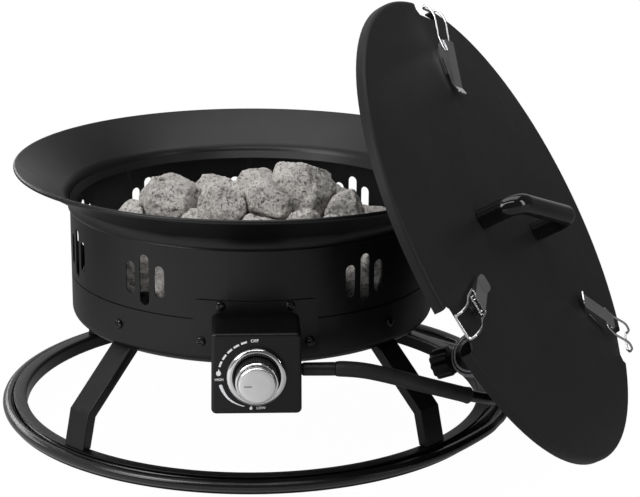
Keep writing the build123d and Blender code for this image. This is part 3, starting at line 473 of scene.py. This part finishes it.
def ribbed(name, profile, origin, axis, ribs, depth, material, body, per_rib=8):
    """A turned form with ribs. The profile holds (radius, height, share), the first two in millimetres.

    share is how much of the depth is cut there."""
    way, side, other = axis_frame(axis)
    steps = ribs * per_rib
    verts = []
    faces = []
    count = len(profile)
    for step in range(steps):
        turn = 2 * pi * step / steps
        out = side * cos(turn) + other * sin(turn)
        groove = depth * (0.5 + 0.5 * cos(ribs * turn))
        for radius, height, share in profile:
            verts.append(Vector(origin) + out * (radius * MM - share * groove) + way * (height * MM))
    for step in range(steps):
        here = step * count
        ahead = (step + 1) % steps * count
        for index in range(count - 1):
            faces.append((here + index, here + index + 1, ahead + index + 1, ahead + index))
    faces.append(tuple(step * count for step in range(steps)))
    faces.append(tuple(step * count + count - 1 for step in reversed(range(steps))))
    return add_mesh(name, verts, faces, material, body, smooth_angle=40.0)


def soften(points, radius, steps=5):
    """A closed outline with each corner rounded, up to a third of its shorter side."""
    done = []
    count = len(points)
    for index, here in enumerate(points):
        before = points[index - 1]
        after = points[(index + 1) % count]
        cut = min(radius, (before - here).length / 3, (after - here).length / 3)
        start = here + (before - here).normalized() * cut
        end = here + (after - here).normalized() * cut
        for step in range(steps + 1):
            t = step / steps
            done.append(start * (1 - t) ** 2 + here * 2 * t * (1 - t) + end * t ** 2)
    return done


def smooth_line(points):
    """Points along the NURBS curve that a route controls."""
    curve = bpy.data.curves.new("route", "CURVE")
    curve.dimensions = "3D"
    curve.resolution_u = line_steps
    spline = curve.splines.new("NURBS")
    spline.points.add(len(points) - 1)
    for target, point in zip(spline.points, points):
        target.co = (*point, 1.0)
    spline.order_u = 3
    spline.use_endpoint_u = True
    line = evaluated(put("route", curve))
    found = [vertex.co.copy() for vertex in line.vertices]
    bpy.data.meshes.remove(line)
    bpy.data.curves.remove(curve)
    return found


def length_of(line):
    return sum((b - a).length for a, b in zip(line, line[1:]))


def tube_along(name, line, radius_at, material, body, sides):
    """A closed tube along a line, with UVs: X round it, Y metres along it. radius_at takes metres along."""
    verts = []
    faces = []
    uvs = []
    travelled = [0.0]
    for before, here in zip(line, line[1:]):
        travelled.append(travelled[-1] + (here - before).length)
    side = (line[1] - line[0]).orthogonal().normalized()
    for index, here in enumerate(line):
        ahead = line[min(index + 1, len(line) - 1)] - line[max(index - 1, 0)]
        ahead.normalize()
        side = (side - ahead * side.dot(ahead)).normalized()
        other = ahead.cross(side)
        for step in range(sides):
            turn = 2 * pi * step / sides
            verts.append(here + (side * cos(turn) + other * sin(turn)) * radius_at(travelled[index]))
    for index in range(len(line) - 1):
        low = index * sides
        start, end = travelled[index], travelled[index + 1]
        for step in range(sides):
            onward = (step + 1) % sides
            faces.append((low + step, low + onward, low + sides + onward, low + sides + step))
            near, far = step / sides, (step + 1) / sides
            uvs.append(((near, start), (far, start), (far, end), (near, end)))
    last = (len(line) - 1) * sides
    faces.append(tuple(reversed(range(sides))))
    faces.append(tuple(last + step for step in range(sides)))
    uvs += [((0.0, 0.0),) * sides] * 2
    mesh = bpy.data.meshes.new(name)
    mesh.from_pydata([tuple(v) for v in verts], [], faces)
    layer = mesh.uv_layers.new(name="UVMap")
    layer.data.foreach_set("uv", [coord for face in uvs for corner in face for coord in corner])
    piece = put(name, mesh)
    dress(piece, material, smooth_angle=60.0)
    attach(piece, body)
    return piece


# Gas hose: one route from the control box, round the ring and on to the regulator
route = [
    (74.1, -215.0, 108.0),
    (93.0, -215.0, 108.0),
    (125.0, -214.0, 100.5),
    (154.0, -213.0, 91.5),
    (180.0, -208.0, 83.0),
    (203.0, -200.0, 74.0),
    (228.0, -184.0, 64.0),
    (258.0, -150.0, 53.0),
    (281.0, -100.0, 45.0),
    (291.0, -45.0, 39.0),
    (288.0, 10.0, 33.0),
    (277.0, 48.0, 28.5),
    (257.0, 79.0, 22.0),
    (235.0, 112.0, 8.6),
    (196.0, 158.0, 7.4),
    (150.0, 196.0, 7.4),
    (91.6, 231.1, 7.4),
]
hose_points = in_metres(route)

# The stored laps turn about centres set off from the ring's middle, so each lap eases into the next.
# lap_marks are the laps' radii at every quarter turn from mark_first on, angles being in degrees.
lap_marks = [lap_inner_r] * 3 + [lap_inner_r + lap_bulge] + [lap_outer_r] * 3
quarters = len(lap_marks) - 1
mark_first = 215.0
mark_last = mark_first + 90 * quarters
step_deg = 15.0
swell = 1 / cos(radians(step_deg / 2))      # control points lie a little outside their curve
offset_share = 1 + 1 / sqrt(2)
tail_offset = lap_bulge * offset_share


def lap_point(turn):
    """A control point of the stored laps, by how far the hose has turned, in degrees from the front."""
    if turn < mark_first:
        return at(turn, lap_inner_r * swell, hose_z)
    if turn >= mark_last:
        return at(mark_last, -tail_offset) + at(turn, (lap_outer_r + tail_offset) * swell, hose_z)
    quarter = int((turn - mark_first) // 90)
    quarter_from = mark_first + 90 * quarter
    near, far = lap_marks[quarter], lap_marks[quarter + 1]
    offset = (far - near) * offset_share
    if turn - quarter_from < 45:
        return at(quarter_from, -offset) + at(turn, (near + offset) * swell, hose_z)
    return at(quarter_from + 90, offset) + at(turn, (far - offset) * swell, hose_z)


laps_from = 177.5
laps_to = mark_last + 25.0
lap_points = int((laps_to - laps_from) / step_deg) + 1
hose_points += [lap_point(laps_from + step_deg * index) for index in range(lap_points)]
lap_end = at(mark_last, -tail_offset) + at(laps_to, lap_outer_r + tail_offset, hose_z)
lap_way = at(laps_to + 90, 1.0)
regulator_mid = Vector((236.0, 12.0, 41.0)) * MM
outlet_way = Vector((0.5, -0.8, -0.3)).normalized()
outlet_end = regulator_mid + outlet_way * (32.1 * MM)
hose_points += [
    lap_end + lap_way * 12 * MM,
    lap_end + lap_way * 30 * MM,
    Vector((263.5, -52.0, 14.5)) * MM,
    outlet_end + outlet_way * 13 * MM,
    outlet_end,
]

hose_line = smooth_line(hose_points)
hose = tube_along("gas_hose", hose_line, lambda metres: hose_d / 2, hose_braid, "fire_pit", sides=20)
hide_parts("hose_lead", "hose_winding", "hose_tail")

# Stand and bowl
for node in ("leg_front_left", "leg_front_right", "leg_rear_right", "leg_rear_left"):
    refine(node, body_paint, 0.5 * MM, bend=2.6 * MM)
ring_outline = [
    (236.0, 0.0),
    (256.8, 0.0),
    (256.8, 1.5),
    (237.5, 1.5),
    (237.5, 13.3),
    (249.5, 13.3),
    (249.5, 14.8),
]
shoulder_r = 4.0
shoulder_turns = [radians(90 + 15 * step) for step in range(7)]
ring_outline += [(240.0 + shoulder_r * cos(turn), 10.8 + shoulder_r * sin(turn)) for turn in shoulder_turns]
ring_profile = soften(in_metres(ring_outline), 0.4 * MM, 3)
base_ring = lathe(
    "base_ring_skin", ring_profile, centre, upward, body_paint, "fire_pit", steps=240, smooth_angle=40.0
)
stand_for(base_ring, "base_ring")
refine("lower_pan", body_paint, 0.3 * MM)
refine("vented_wall", body_paint, 0.3 * MM)
refine("control_mount_plate", body_paint, 0.7 * MM)
refine("control_box", body_paint, smooth_angle=40.0)

# Rim: collar, flared neck and cone of one sheet, ending in a rolled bead
sheet = 1.2 * MM
collar_r = 186.7 * MM
collar_z = 214.4 * MM
collar_lip = 0.8 * MM       # the collar's lower edge stands this far off the wall
neck_bend = 17.0 * MM
slope = 31.0
neck_turn = 90 - slope
bead_r = 2.2 * MM
bead_at = Vector((239.1, 257.0)) * MM
bead_steps = 20
cone_run = (bead_at.x - collar_r - neck_bend * (1 - cos(radians(neck_turn)))) / cos(radians(slope))
neck_z = bead_at.y - cone_run * sin(radians(slope)) - neck_bend * sin(radians(neck_turn))


def neck_arc(radius, steps=14):
    middle = Vector((collar_r + neck_bend, neck_z))
    turns = [radians(180 - neck_turn * step / steps) for step in range(steps + 1)]
    return [middle + Vector((cos(turn), sin(turn))) * radius for turn in turns]


bead_open = 180 - asin(sheet / 2 / bead_r) * 180 / pi
bead_turns = [
    radians(slope + 90 - (90 + bead_open) * step / bead_steps)
    for step in range(bead_steps + 1)
]
rim_profile = [
    Vector((collar_r - sheet / 2 + collar_lip, collar_z + 0.3 * MM)),
    Vector((collar_r - sheet / 2 + collar_lip / 3, collar_z + 1.4 * MM)),
    Vector((collar_r - sheet / 2, collar_z + 3.0 * MM)),
]
rim_profile += neck_arc(neck_bend + sheet / 2)
rim_profile += [bead_at + Vector((cos(turn), sin(turn))) * bead_r for turn in bead_turns]
rim_profile += reversed(neck_arc(neck_bend - sheet / 2))
rim_profile += [
    Vector((collar_r + sheet / 2, collar_z + 3.0 * MM)),
    Vector((collar_r + sheet / 2 + collar_lip / 3, collar_z + 1.4 * MM)),
    Vector((collar_r + sheet / 2 + collar_lip, collar_z + 0.4 * MM)),
    Vector((collar_r + sheet / 4 + collar_lip, collar_z)),
    Vector((collar_r - sheet / 4 + collar_lip, collar_z)),
]
rim = lathe(
    "rim_skin", rim_profile, centre, upward, body_paint, "fire_pit", steps=240, smooth_angle=40.0
)
stand_for(rim, "rim")

# Lid
refine("lid_disc", lid_paint, 0.3 * MM)
refine("lid_handle", handle_black, 0.6 * MM, smooth_angle=40.0)
for number in (1, 2, 3):
    refine(f"latch_base_{number}", chrome, 0.3 * MM)
    refine(f"latch_lever_{number}", chrome, 0.25 * MM, bend=1.1 * MM)
    refine(f"latch_bail_{number}", chrome, smooth_angle=50.0)
refine("latch_pins", chrome, 0.3 * MM)
refine("latch_rivets", chrome)

# Hidden works
for node in (
    "tray_brackets",
    "burner_tray",
    "burner_ring",
    "gas_feed_tube",
    "valve_stem",
    "handle_screws",
    "valve_nut",
):
    refine(node, steel, 0.2 * MM)
for node in ("orifice_fitting", "valve_body", "valve_plug"):
    refine(node, brass, 0.2 * MM)


def loose_parts(mesh):
    """The separate solids of a mesh, each as a list of points and a list of faces."""
    work = bmesh.new()
    work.from_mesh(mesh)
    bmesh.ops.remove_doubles(work, verts=work.verts, dist=weld)
    work.verts.index_update()
    found = []
    seen = set()
    for first in work.verts:
        if first.index in seen:
            continue
        seen.add(first.index)
        order = [first]
        for here in order:
            for line in here.link_edges:
                there = line.other_vert(here)
                if there.index not in seen:
                    seen.add(there.index)
                    order.append(there)
        place = {vert.index: number for number, vert in enumerate(order)}
        faces = [[place[v.index] for v in face.verts] for face in work.faces if face.verts[0].index in place]
        found.append(([vert.co.copy() for vert in order], faces))
    work.free()
    return found


def cross_screws(node, material):
    """Pan-head screws with a cross recess, in the places of the node's screws.

    They all point out from the bowl's axis, and each recess is turned by an angle of its own."""
    head_r, head_h, shank_r, shank = 4.7 * MM, 2.6 * MM, 2.0 * MM, 6.0 * MM
    slot_half, slot_reach, slot_deep = 0.62 * MM, 2.5 * MM, 1.2 * MM
    side_share = 0.30       # of the head's height is its upright side, and the rest its dome
    dome_power = 2.6        # above 2 the dome is flatter on top than a ball
    end_rise = 0.6          # of the recess's depth is lost towards the ends of its slots
    rings, steps = 26, 96
    verts = []
    faces = []
    for points, _ in loose_parts(nodes[node].data):
        middle = sum(points, Vector()) / len(points)
        out = Vector((middle.x, middle.y, 0)).normalized()
        side = Vector((-out.y, out.x, 0))
        rise = (max(p.z for p in points) + min(p.z for p in points)) / 2
        top = max(p.dot(out) for p in points)
        across = (max(p.dot(side) for p in points) + min(p.dot(side) for p in points)) / 2
        seat = out * (top - head_h) + side * across + Vector((0, 0, rise))
        tilt = radians(17 + 40 * rise / 0.16 + 300 * across)
        start = len(verts)
        levels = []
        for ring in range(1, rings + 1):
            share = ring / rings
            dome = head_h * (side_share + (1 - side_share) * sqrt(1 - share ** dome_power))
            levels.append((head_r * share, dome, True))
        levels += [(head_r, 0.0, False), (shank_r, 0.0, False), (shank_r, -shank, False)]
        verts.append(seat + out * (head_h - slot_deep))
        for radius, height, cut in levels:
            for step in range(steps):
                turn = 2 * pi * step / steps
                u, v = radius * cos(turn + tilt), radius * sin(turn + tilt)
                nearer, farther = sorted((abs(u), abs(v)))
                inside = nearer < slot_half and farther < slot_reach
                deep = slot_deep * (1 - (radius / slot_reach) ** 2 * end_rise) if cut and inside else 0.0
                round_it = side * (radius * cos(turn)) + Vector((0, 0, radius * sin(turn)))
                verts.append(seat + round_it + out * (height - deep))
        for step in range(steps):
            onward = (step + 1) % steps
            faces.append((start, start + 1 + step, start + 1 + onward))
            for level in range(len(levels) - 1):
                low = start + 1 + level * steps
                faces.append((low + step, low + steps + step, low + steps + onward, low + onward))
        last = start + 1 + (len(levels) - 1) * steps
        faces.append(tuple(last + step for step in reversed(range(steps))))
    screws = add_mesh(f"{node}_skin", verts, faces, material, body_of[node], smooth_angle=38.0)
    stand_for(screws, node)


cross_screws("pan_screws", screw_black)
cross_screws("panel_screws", screw_black)

# Knob: chrome bezel, ribbed skirt with a chrome ring, satin cap with a pointer
knob_at = (0.0, box_face_y, knob_z)
knob_way = (0.0, -1.0, 0.0)
bezel_outline = [(21.0, 0.1), (28.0, 0.1), (28.0, 2.8), (27.3, 5.4), (25.2, 6.9), (22.2, 6.8), (21.0, 5.6)]
bezel_profile = soften(in_metres(bezel_outline), 1.2 * MM)
bezel = lathe("knob_bezel_skin", bezel_profile, knob_at, knob_way, chrome, "fire_pit", steps=160)
stand_for(bezel, "knob_bezel")
skirt_profile = [
    (2.52, 19.0, 0.0),
    (2.52, 9.0, 0.0),
    (5.5, 9.0, 0.0),
    (5.5, 17.4, 0.0),
    (16.4, 17.4, 0.0),
    (16.4, 4.0, 0.0),
    (19.4, 4.0, 0.0),
    (20.0, 4.5, 0.2),
    (20.0, 5.6, 0.3),
    (20.0, 6.4, 1.0),
    (20.0, 19.4, 1.0),
    (19.7, 20.2, 0.6),
    (19.2, 20.7, 0.0),
    (17.2, 20.9, 0.0),
]
skirt = ribbed(
    "knob_skirt_skin",
    skirt_profile,
    knob_at,
    knob_way,
    ribs=60,
    depth=0.75 * MM,
    material=black_plastic,
    body="knob",
)
stand_for(skirt, "knob_skirt")
trim_outline = [(17.5, 20.4), (19.7, 20.4), (19.7, 21.0), (18.9, 21.8), (18.0, 21.8), (17.5, 21.2)]
trim_profile = soften(in_metres(trim_outline), 0.5 * MM)
trim = lathe("knob_trim_ring", trim_profile, knob_at, knob_way, chrome, "knob")
cap_outline = [(0.0, 21.1), (17.3, 21.1), (17.3, 26.2), (15.9, 27.7), (12.0, 28.0), (0.0, 28.1)]
cap_rounded = soften(in_metres(cap_outline), 0.9 * MM)
cap_profile = [point for point in cap_rounded if point.x > MM]      # the corners on the axis stay sharp
cap_profile += in_metres([cap_outline[-1], cap_outline[0]])
cap = lathe("knob_cap_skin", cap_profile, knob_at, knob_way, silver, "knob", smooth_angle=40.0)
stand_for(cap, "knob_cap")


def rounded_bar(name, middle, half_long, half_wide, thick, material, body, sides=24):
    """A flat bar with round ends on the knob's face, its long side level."""
    outline = []
    for step in range(sides):
        turn = 2 * pi * step / sides
        shift = half_long - half_wide if cos(turn) > 0 else half_wide - half_long
        outline.append((shift + half_wide * cos(turn), half_wide * sin(turn)))
    verts = []
    for raise_by, shrink in ((0.0, 1.0), (thick * 0.6, 1.0), (thick, 0.9)):
        verts += [Vector(middle) + Vector((u * shrink, -raise_by, v * shrink)) for u, v in outline]
    faces = [tuple(range(2 * sides, 3 * sides))]
    for level in (0, sides):
        for step in range(sides):
            onward = (step + 1) % sides
            faces.append((level + step, level + onward, level + sides + onward, level + sides + step))
    return add_mesh(name, verts, faces, material, body)


pointer_at = (-8.2 * MM, box_face_y - 27.9 * MM, knob_z - 0.6 * MM)
pointer = rounded_bar("knob_pointer", pointer_at, 3.7 * MM, 0.65 * MM, 0.25 * MM, steel, "knob")


# Printed marks on the box: words, two small flames, stepped dashes and a tapering bow
def printed(shapes):
    """Flat ink shapes on the box face, as one piece.

    Each shape has points (x, z) in millimetres and faces."""
    ink_y = box_face_y - 0.12 * MM
    verts = []
    faces = []
    for points, members in shapes:
        start = len(verts)
        count = len(points)
        verts += [(u * MM, ink_y, v * MM) for u, v in points]
        verts += [(u * MM, box_face_y, v * MM) for u, v in points]
        sides = {}
        for member in members:
            faces.append(tuple(start + index for index in member))
            for index, onward in zip(member, member[1:] + member[:1]):
                sides[(index, onward)] = sides.get((index, onward), 0) + 1
        for index, onward in sides:
            if (onward, index) not in sides:
                faces.append((start + index, start + onward, start + count + onward, start + count + index))
    return add_mesh("panel_print", verts, faces, white_ink, "fire_pit")


def words(text, middle, height):
    capitals = 0.72         # of the type's size is the height of its capitals
    curve = bpy.data.curves.new("words", "FONT")
    curve.body = text
    curve.size = height / capitals
    curve.align_x = "CENTER"
    curve.align_y = "CENTER"
    curve.offset = 0.02 * height        # a little bolder than the type
    curve.resolution_u = 3
    mesh = evaluated(put("words", curve))
    points = [(middle[0] + vert.co.x, middle[1] + vert.co.y) for vert in mesh.vertices]
    members = [list(face.vertices) for face in mesh.polygons]
    bpy.data.meshes.remove(mesh)
    bpy.data.curves.remove(curve)
    return points, members


def flame_mark(middle, tall):
    half = [(0.0, 0.52), (0.12, 0.28), (0.27, 0.08), (0.33, -0.14), (0.25, -0.36), (0.09, -0.48)]
    left = [(-u, v) for u, v in reversed(half[1:])]
    left[-1] = (-0.05, 0.20)
    points = [(middle[0] + u * tall, middle[1] + v * tall) for u, v in half + left]
    return points, [list(range(len(points)))]


def bow(middle, stops, wide_from, wide_to, steps=20):
    """A band that follows (degrees, radius) stops and changes its width from its first end to its last."""
    near = []
    far = []
    for step in range(steps + 1):
        share = step / steps
        place = share * (len(stops) - 1)
        index = min(int(place), len(stops) - 2)
        inner = place - index
        turn = radians(stops[index][0] * (1 - inner) + stops[index + 1][0] * inner)
        radius = stops[index][1] * (1 - inner) + stops[index + 1][1] * inner
        half = (wide_from * (1 - share) + wide_to * share) / 2
        near.append((middle[0] + (radius - half) * cos(turn), middle[1] + (radius - half) * sin(turn)))
        far.append((middle[0] + (radius + half) * cos(turn), middle[1] + (radius + half) * sin(turn)))
    members = [[i, i + 1, steps + 2 + i, steps + 1 + i] for i in range(steps)]
    return near + far, members


mark_centre = (0.0, 109.5)
dash_r = 35.7
dash_half = 4.6
marks = [
    words("OFF", (-1.7, 145.1), 3.0),
    words("HIGH", (-34.4, 107.7), 2.4),
    words("LOW", (4.1, 79.6), 2.6),
    flame_mark((-34.9, 114.8), 7.0),
    flame_mark((-5.2, 80.0), 4.2),
]
for number in range(5):
    angle = 158.0 - 12.3 * number
    marks.append(bow(mark_centre, [(angle + dash_half, dash_r), (angle - dash_half, dash_r)], 1.9, 1.9, 4))
marks.append(bow(mark_centre, [(-168.5, 33.9), (-167.0, 33.9)], 1.8, 3.0, 2))
marks.append(bow(mark_centre, [(-167.0, 33.9), (-142.0, 33.0), (-112.0, 30.2)], 3.0, 0.6))
printed(marks)

# Hose end at the box: a smooth black ferrule, then the sleeve over the first run of hose
ferrule_outline = [
    (0.0, 30.8),
    (7.0, 30.8),
    (7.0, 37.6),
    (5.4, 37.8),
    (5.4, 43.0),
    (6.3, 44.0),
    (6.5, 73.4),
    (5.9, 74.0),
    (0.0, 74.0),
]
ferrule_profile = soften(in_metres(ferrule_outline), 0.5 * MM, 3)
ferrule_at = (0.0, -215.0 * MM, 108.0 * MM)
ferrule_way = (1, 0, 0)
ferrule = lathe(
    "hose_fitting_skin", ferrule_profile, ferrule_at, ferrule_way, black_plastic, "fire_pit", steps=64
)
stand_for(ferrule, "hose_fitting")

first_run = 9 * line_steps      # points of the hose's line, well before the laps come by here
sleeve_end_x = 203.0 * MM
sleeve_r = 7.5 * MM
sleeve_line = [point for point in hose_line[:first_run] if point.x < sleeve_end_x]
sleeve_length = length_of(sleeve_line)


def sleeve_radius(metres):
    """The sleeve is snug on the ferrule, and its cut end stands a little open."""
    flare = max(0.0, 1.0 - (sleeve_length - metres) / (9.0 * MM)) ** 2
    snug = max(0.0, 1.0 - metres / (6.0 * MM)) ** 2
    return sleeve_r + 0.7 * MM * flare - 0.7 * MM * snug


sleeve = tube_along("hose_sleeve_skin", sleeve_line, sleeve_radius, sleeve_rubber, "fire_pit", sides=40)
stand_for(sleeve, "hose_sleeve")

# Regulator with its crimped rim, inlet and hand nut
regulator_skins = [
    refine("regulator_body", cast_alloy, 0.4 * MM, smooth_angle=40.0),
    refine("regulator_cap", cast_alloy, 0.4 * MM, smooth_angle=40.0),
    refine("regulator_inlet", cast_alloy, 0.2 * MM),
]
regulator_axis = Vector((-0.522, -0.578, 0.627))
crimp_outline = [
    (24.6, -2.6),
    (26.4, -2.6),
    (26.9, -1.4),
    (26.5, 0.2),
    (26.6, 1.6),
    (25.8, 2.9),
    (24.6, 2.9),
]
crimp_profile = soften(in_metres(crimp_outline), 0.6 * MM, 4)
crimp = lathe("regulator_crimp", crimp_profile, regulator_mid, regulator_axis, zinc, "fire_pit")
step_outline = [(20.6, 2.7), (23.0, 2.7), (22.8, 4.0), (21.9, 4.7), (20.6, 4.5)]
step_profile = soften(in_metres(step_outline), 0.6 * MM, 4)
step_ring = lathe("regulator_step_ring", step_profile, regulator_mid, regulator_axis, zinc, "fire_pit")
inlet_way = Vector((-0.853, 0.354, -0.383))
nut_profile = [
    (6.4, 27.0, 0.0),
    (13.6, 27.0, 0.4),
    (15.8, 27.6, 1.0),
    (16.5, 29.2, 1.0),
    (16.5, 44.6, 1.0),
    (15.9, 46.3, 1.0),
    (14.6, 47.0, 0.9),
    (11.2, 47.0, 0.0),
    (10.9, 46.6, 0.0),
    (10.9, 42.0, 0.0),
    (6.4, 42.0, 0.0),
]
nut = ribbed(
    "tank_nut_skin",
    nut_profile,
    regulator_mid,
    inlet_way,
    ribs=10,
    depth=2.2 * MM,
    material=black_plastic,
    body="tank_nut",
    per_rib=16,
)
stand_for(nut, "tank_nut")


# Lava rocks: each loose stone of the node, worn round and pitted
def voxel_size(points):
    """Finest for the high stones at the front, coarse for those that others cover."""
    top_layer = 0.2
    covered = 0.19
    highest = max(point.z for point in points)
    nearest = min(point.y for point in points)
    if highest > top_layer and nearest < 0.0:
        return 1.5 * MM
    return 2.4 * MM if highest > covered else 4.0 * MM


def weathered(points, faces, number):
    """A stone's points and faces after wear. Scales are per metre, depths in millimetres."""
    grain = voxel_size(points)
    mesh = bpy.data.meshes.new("stone")
    mesh.from_pydata([tuple(p) for p in points], [], faces)
    holder = put("stone", mesh)
    voxels = holder.modifiers.new("voxels", "REMESH")
    voxels.mode = "VOXEL"
    voxels.voxel_size = grain
    wear = holder.modifiers.new("wear", "SMOOTH")
    wear.factor = 0.5
    wear.iterations = int(14 * (2.0 * MM / grain) ** 2) + 3
    worn = evaluated(holder)
    shift = Vector((number * 0.37, number * 0.71, number * 0.13))      # no two stones have the same pits
    moved = []
    for vert in worn.vertices:
        spot = vert.co + shift
        lump = noise.noise(spot * 38.0) * 3.0 + noise.noise(spot * 105.0) * 1.7
        hollow = noise.voronoi(spot * 90.0)[0][0]
        pit = max(0.0, 0.45 - hollow) * 6.0
        fine = noise.noise(spot * 300.0) * 0.9
        outward = min(0.25, lump * 0.6 + fine - pit - 0.7)
        moved.append(vert.co + vert.normal * outward * MM)
    members = [tuple(face.vertices) for face in worn.polygons]
    bpy.data.meshes.remove(mesh)
    bpy.data.meshes.remove(worn)
    return moved, members


stone_verts = []
stone_faces = []
for number, (points, faces) in enumerate(loose_parts(nodes["lava_rocks"].data)):
    moved, members = weathered(points, faces, number)
    start = len(stone_verts)
    stone_verts += moved
    stone_faces += [tuple(start + index for index in member) for member in members]
stones = add_mesh("lava_rocks_skin", stone_verts, stone_faces, lava, "fire_pit", smooth_angle=70.0)
stand_for(stones, "lava_rocks")

# Stage: a white floor that keeps a soft shadow, and plain studio light
floor_half = 6.0
floor_paint = (0.86, 0.86, 0.87, 1)
white = (1, 1, 1, 1)
shadow_reach = (0.30, 0.42)     # the shadow is kept within the first radius and gone at the second
shadow_white = 0.985            # how much of the floor is plain white where the shadow is kept
# In the paint the floor shows bright at the front left and dim at the right and the back:
# where each fall begins and ends, and how bright it is there
floor_falls = {"X": (-0.30, 0.14, 1.0, 0.42), "Y": (-0.45, 0.20, 1.0, 0.24)}
fill_colour = (0.95, 0.97, 1.0, 1)
fill_strength = 0.34
# Glossy rays see half of the white backdrop behind the object and to its left, and a tenth of it elsewhere
room_fall = (0.05, 0.75, 0.10, 0.5)
room_rightward = 1.1


def floor():
    mesh = bpy.data.meshes.new("floor")
    corners = [(u * floor_half, v * floor_half, 0) for u, v in ((-1, -1), (1, -1), (1, 1), (-1, 1))]
    mesh.from_pydata(corners, [], [(0, 1, 2, 3)])
    piece = put("floor", mesh)
    material = bpy.data.materials.new("floor_white")
    material.use_nodes = True
    tree = material.node_tree
    tree.nodes.clear()
    rays = tree.nodes.new("ShaderNodeLightPath").outputs
    coords = tree.nodes.new("ShaderNodeTexCoord").outputs["Object"]
    reach = add_node(tree, "ShaderNodeVectorMath", {0: coords}, operation="LENGTH").outputs["Value"]
    fade = ease(tree, reach, *shadow_reach, shadow_white, 1.0)
    seen = combine(tree, "MAXIMUM", rays["Is Camera Ray"], rays["Is Glossy Ray"])
    share = combine(tree, "MULTIPLY", seen, fade)
    place = add_node(tree, "ShaderNodeSeparateXYZ", {"Vector": coords}).outputs
    falls = [ease(tree, place[axis], *limits) for axis, limits in floor_falls.items()]
    mirrored = combine(tree, "MULTIPLY", *falls)
    inputs = {"Factor": rays["Is Camera Ray"], "A": mirrored, "B": 1.0}
    bright = add_node(tree, "ShaderNodeMix", inputs, data_type="FLOAT").outputs["Result"]
    paint = add_node(tree, "ShaderNodeBsdfDiffuse", {"Color": floor_paint}).outputs["BSDF"]
    glow = add_node(tree, "ShaderNodeEmission", {"Color": white, "Strength": bright}).outputs["Emission"]
    mix = add_node(tree, "ShaderNodeMixShader", {"Fac": share, 1: paint, 2: glow}).outputs["Shader"]
    add_node(tree, "ShaderNodeOutputMaterial", {"Surface": mix})
    mesh.materials.append(material)


def studio():
    world = bpy.data.worlds.new("studio")
    bpy.context.scene.world = world
    world.use_nodes = True
    tree = world.node_tree
    tree.nodes.clear()
    rays = tree.nodes.new("ShaderNodeLightPath").outputs
    seen = combine(tree, "MAXIMUM", rays["Is Camera Ray"], rays["Is Transmission Ray"])
    coords = tree.nodes.new("ShaderNodeTexCoord").outputs["Generated"]
    way = add_node(tree, "ShaderNodeSeparateXYZ", {"Vector": coords}).outputs
    rightward = combine(tree, "MULTIPLY", way["X"], room_rightward)
    behind = combine(tree, "SUBTRACT", way["Y"], rightward)
    mirrored = combine(tree, "MULTIPLY", rays["Is Glossy Ray"], ease(tree, behind, *room_fall))
    shown = combine(tree, "MAXIMUM", seen, mirrored)
    dimmed = spread(tree, rays["Is Glossy Ray"], fill_strength, 0.0)
    fill = add_node(tree, "ShaderNodeBackground", {"Color": fill_colour, "Strength": dimmed}).outputs[0]
    backdrop = add_node(tree, "ShaderNodeBackground", {"Color": white, "Strength": 1.0}).outputs[0]
    mix = add_node(tree, "ShaderNodeMixShader", {"Fac": shown, 1: fill, 2: backdrop}).outputs["Shader"]
    add_node(tree, "ShaderNodeOutputWorld", {"Surface": mix})


def soft_box(name, place, target, size, watts):
    light = bpy.data.lights.new(name, "AREA")
    light.shape = "RECTANGLE"
    light.size, light.size_y = size
    light.energy = watts
    lamp = put(name, light)
    lamp.location = place
    lamp.rotation_euler = (Vector(target) - Vector(place)).to_track_quat("-Z", "Y").to_euler()


floor()
studio()
soft_box("key_left", (-1.5, -1.1, 1.6), (0.0, 0.0, 0.18), size=(1.0, 1.4), watts=26)
soft_box("overhead", (0.1, 0.3, 1.9), (0.05, 0.0, 0.2), size=(1.6, 1.2), watts=12)
soft_box("front_top", (-0.1, -0.95, 1.8), (0.0, -0.1, 0.15), size=(1.3, 0.3), watts=6)
soft_box("back_left", (-1.4, 1.4, 0.8), (-0.25, -0.1, 0.0), size=(1.7, 0.26), watts=9)
soft_box("right_strip", (1.7, -0.9, 1.0), (0.15, 0.0, 0.2), size=(0.4, 1.5), watts=9)

bpy.context.scene.view_settings.view_transform = "Standard"
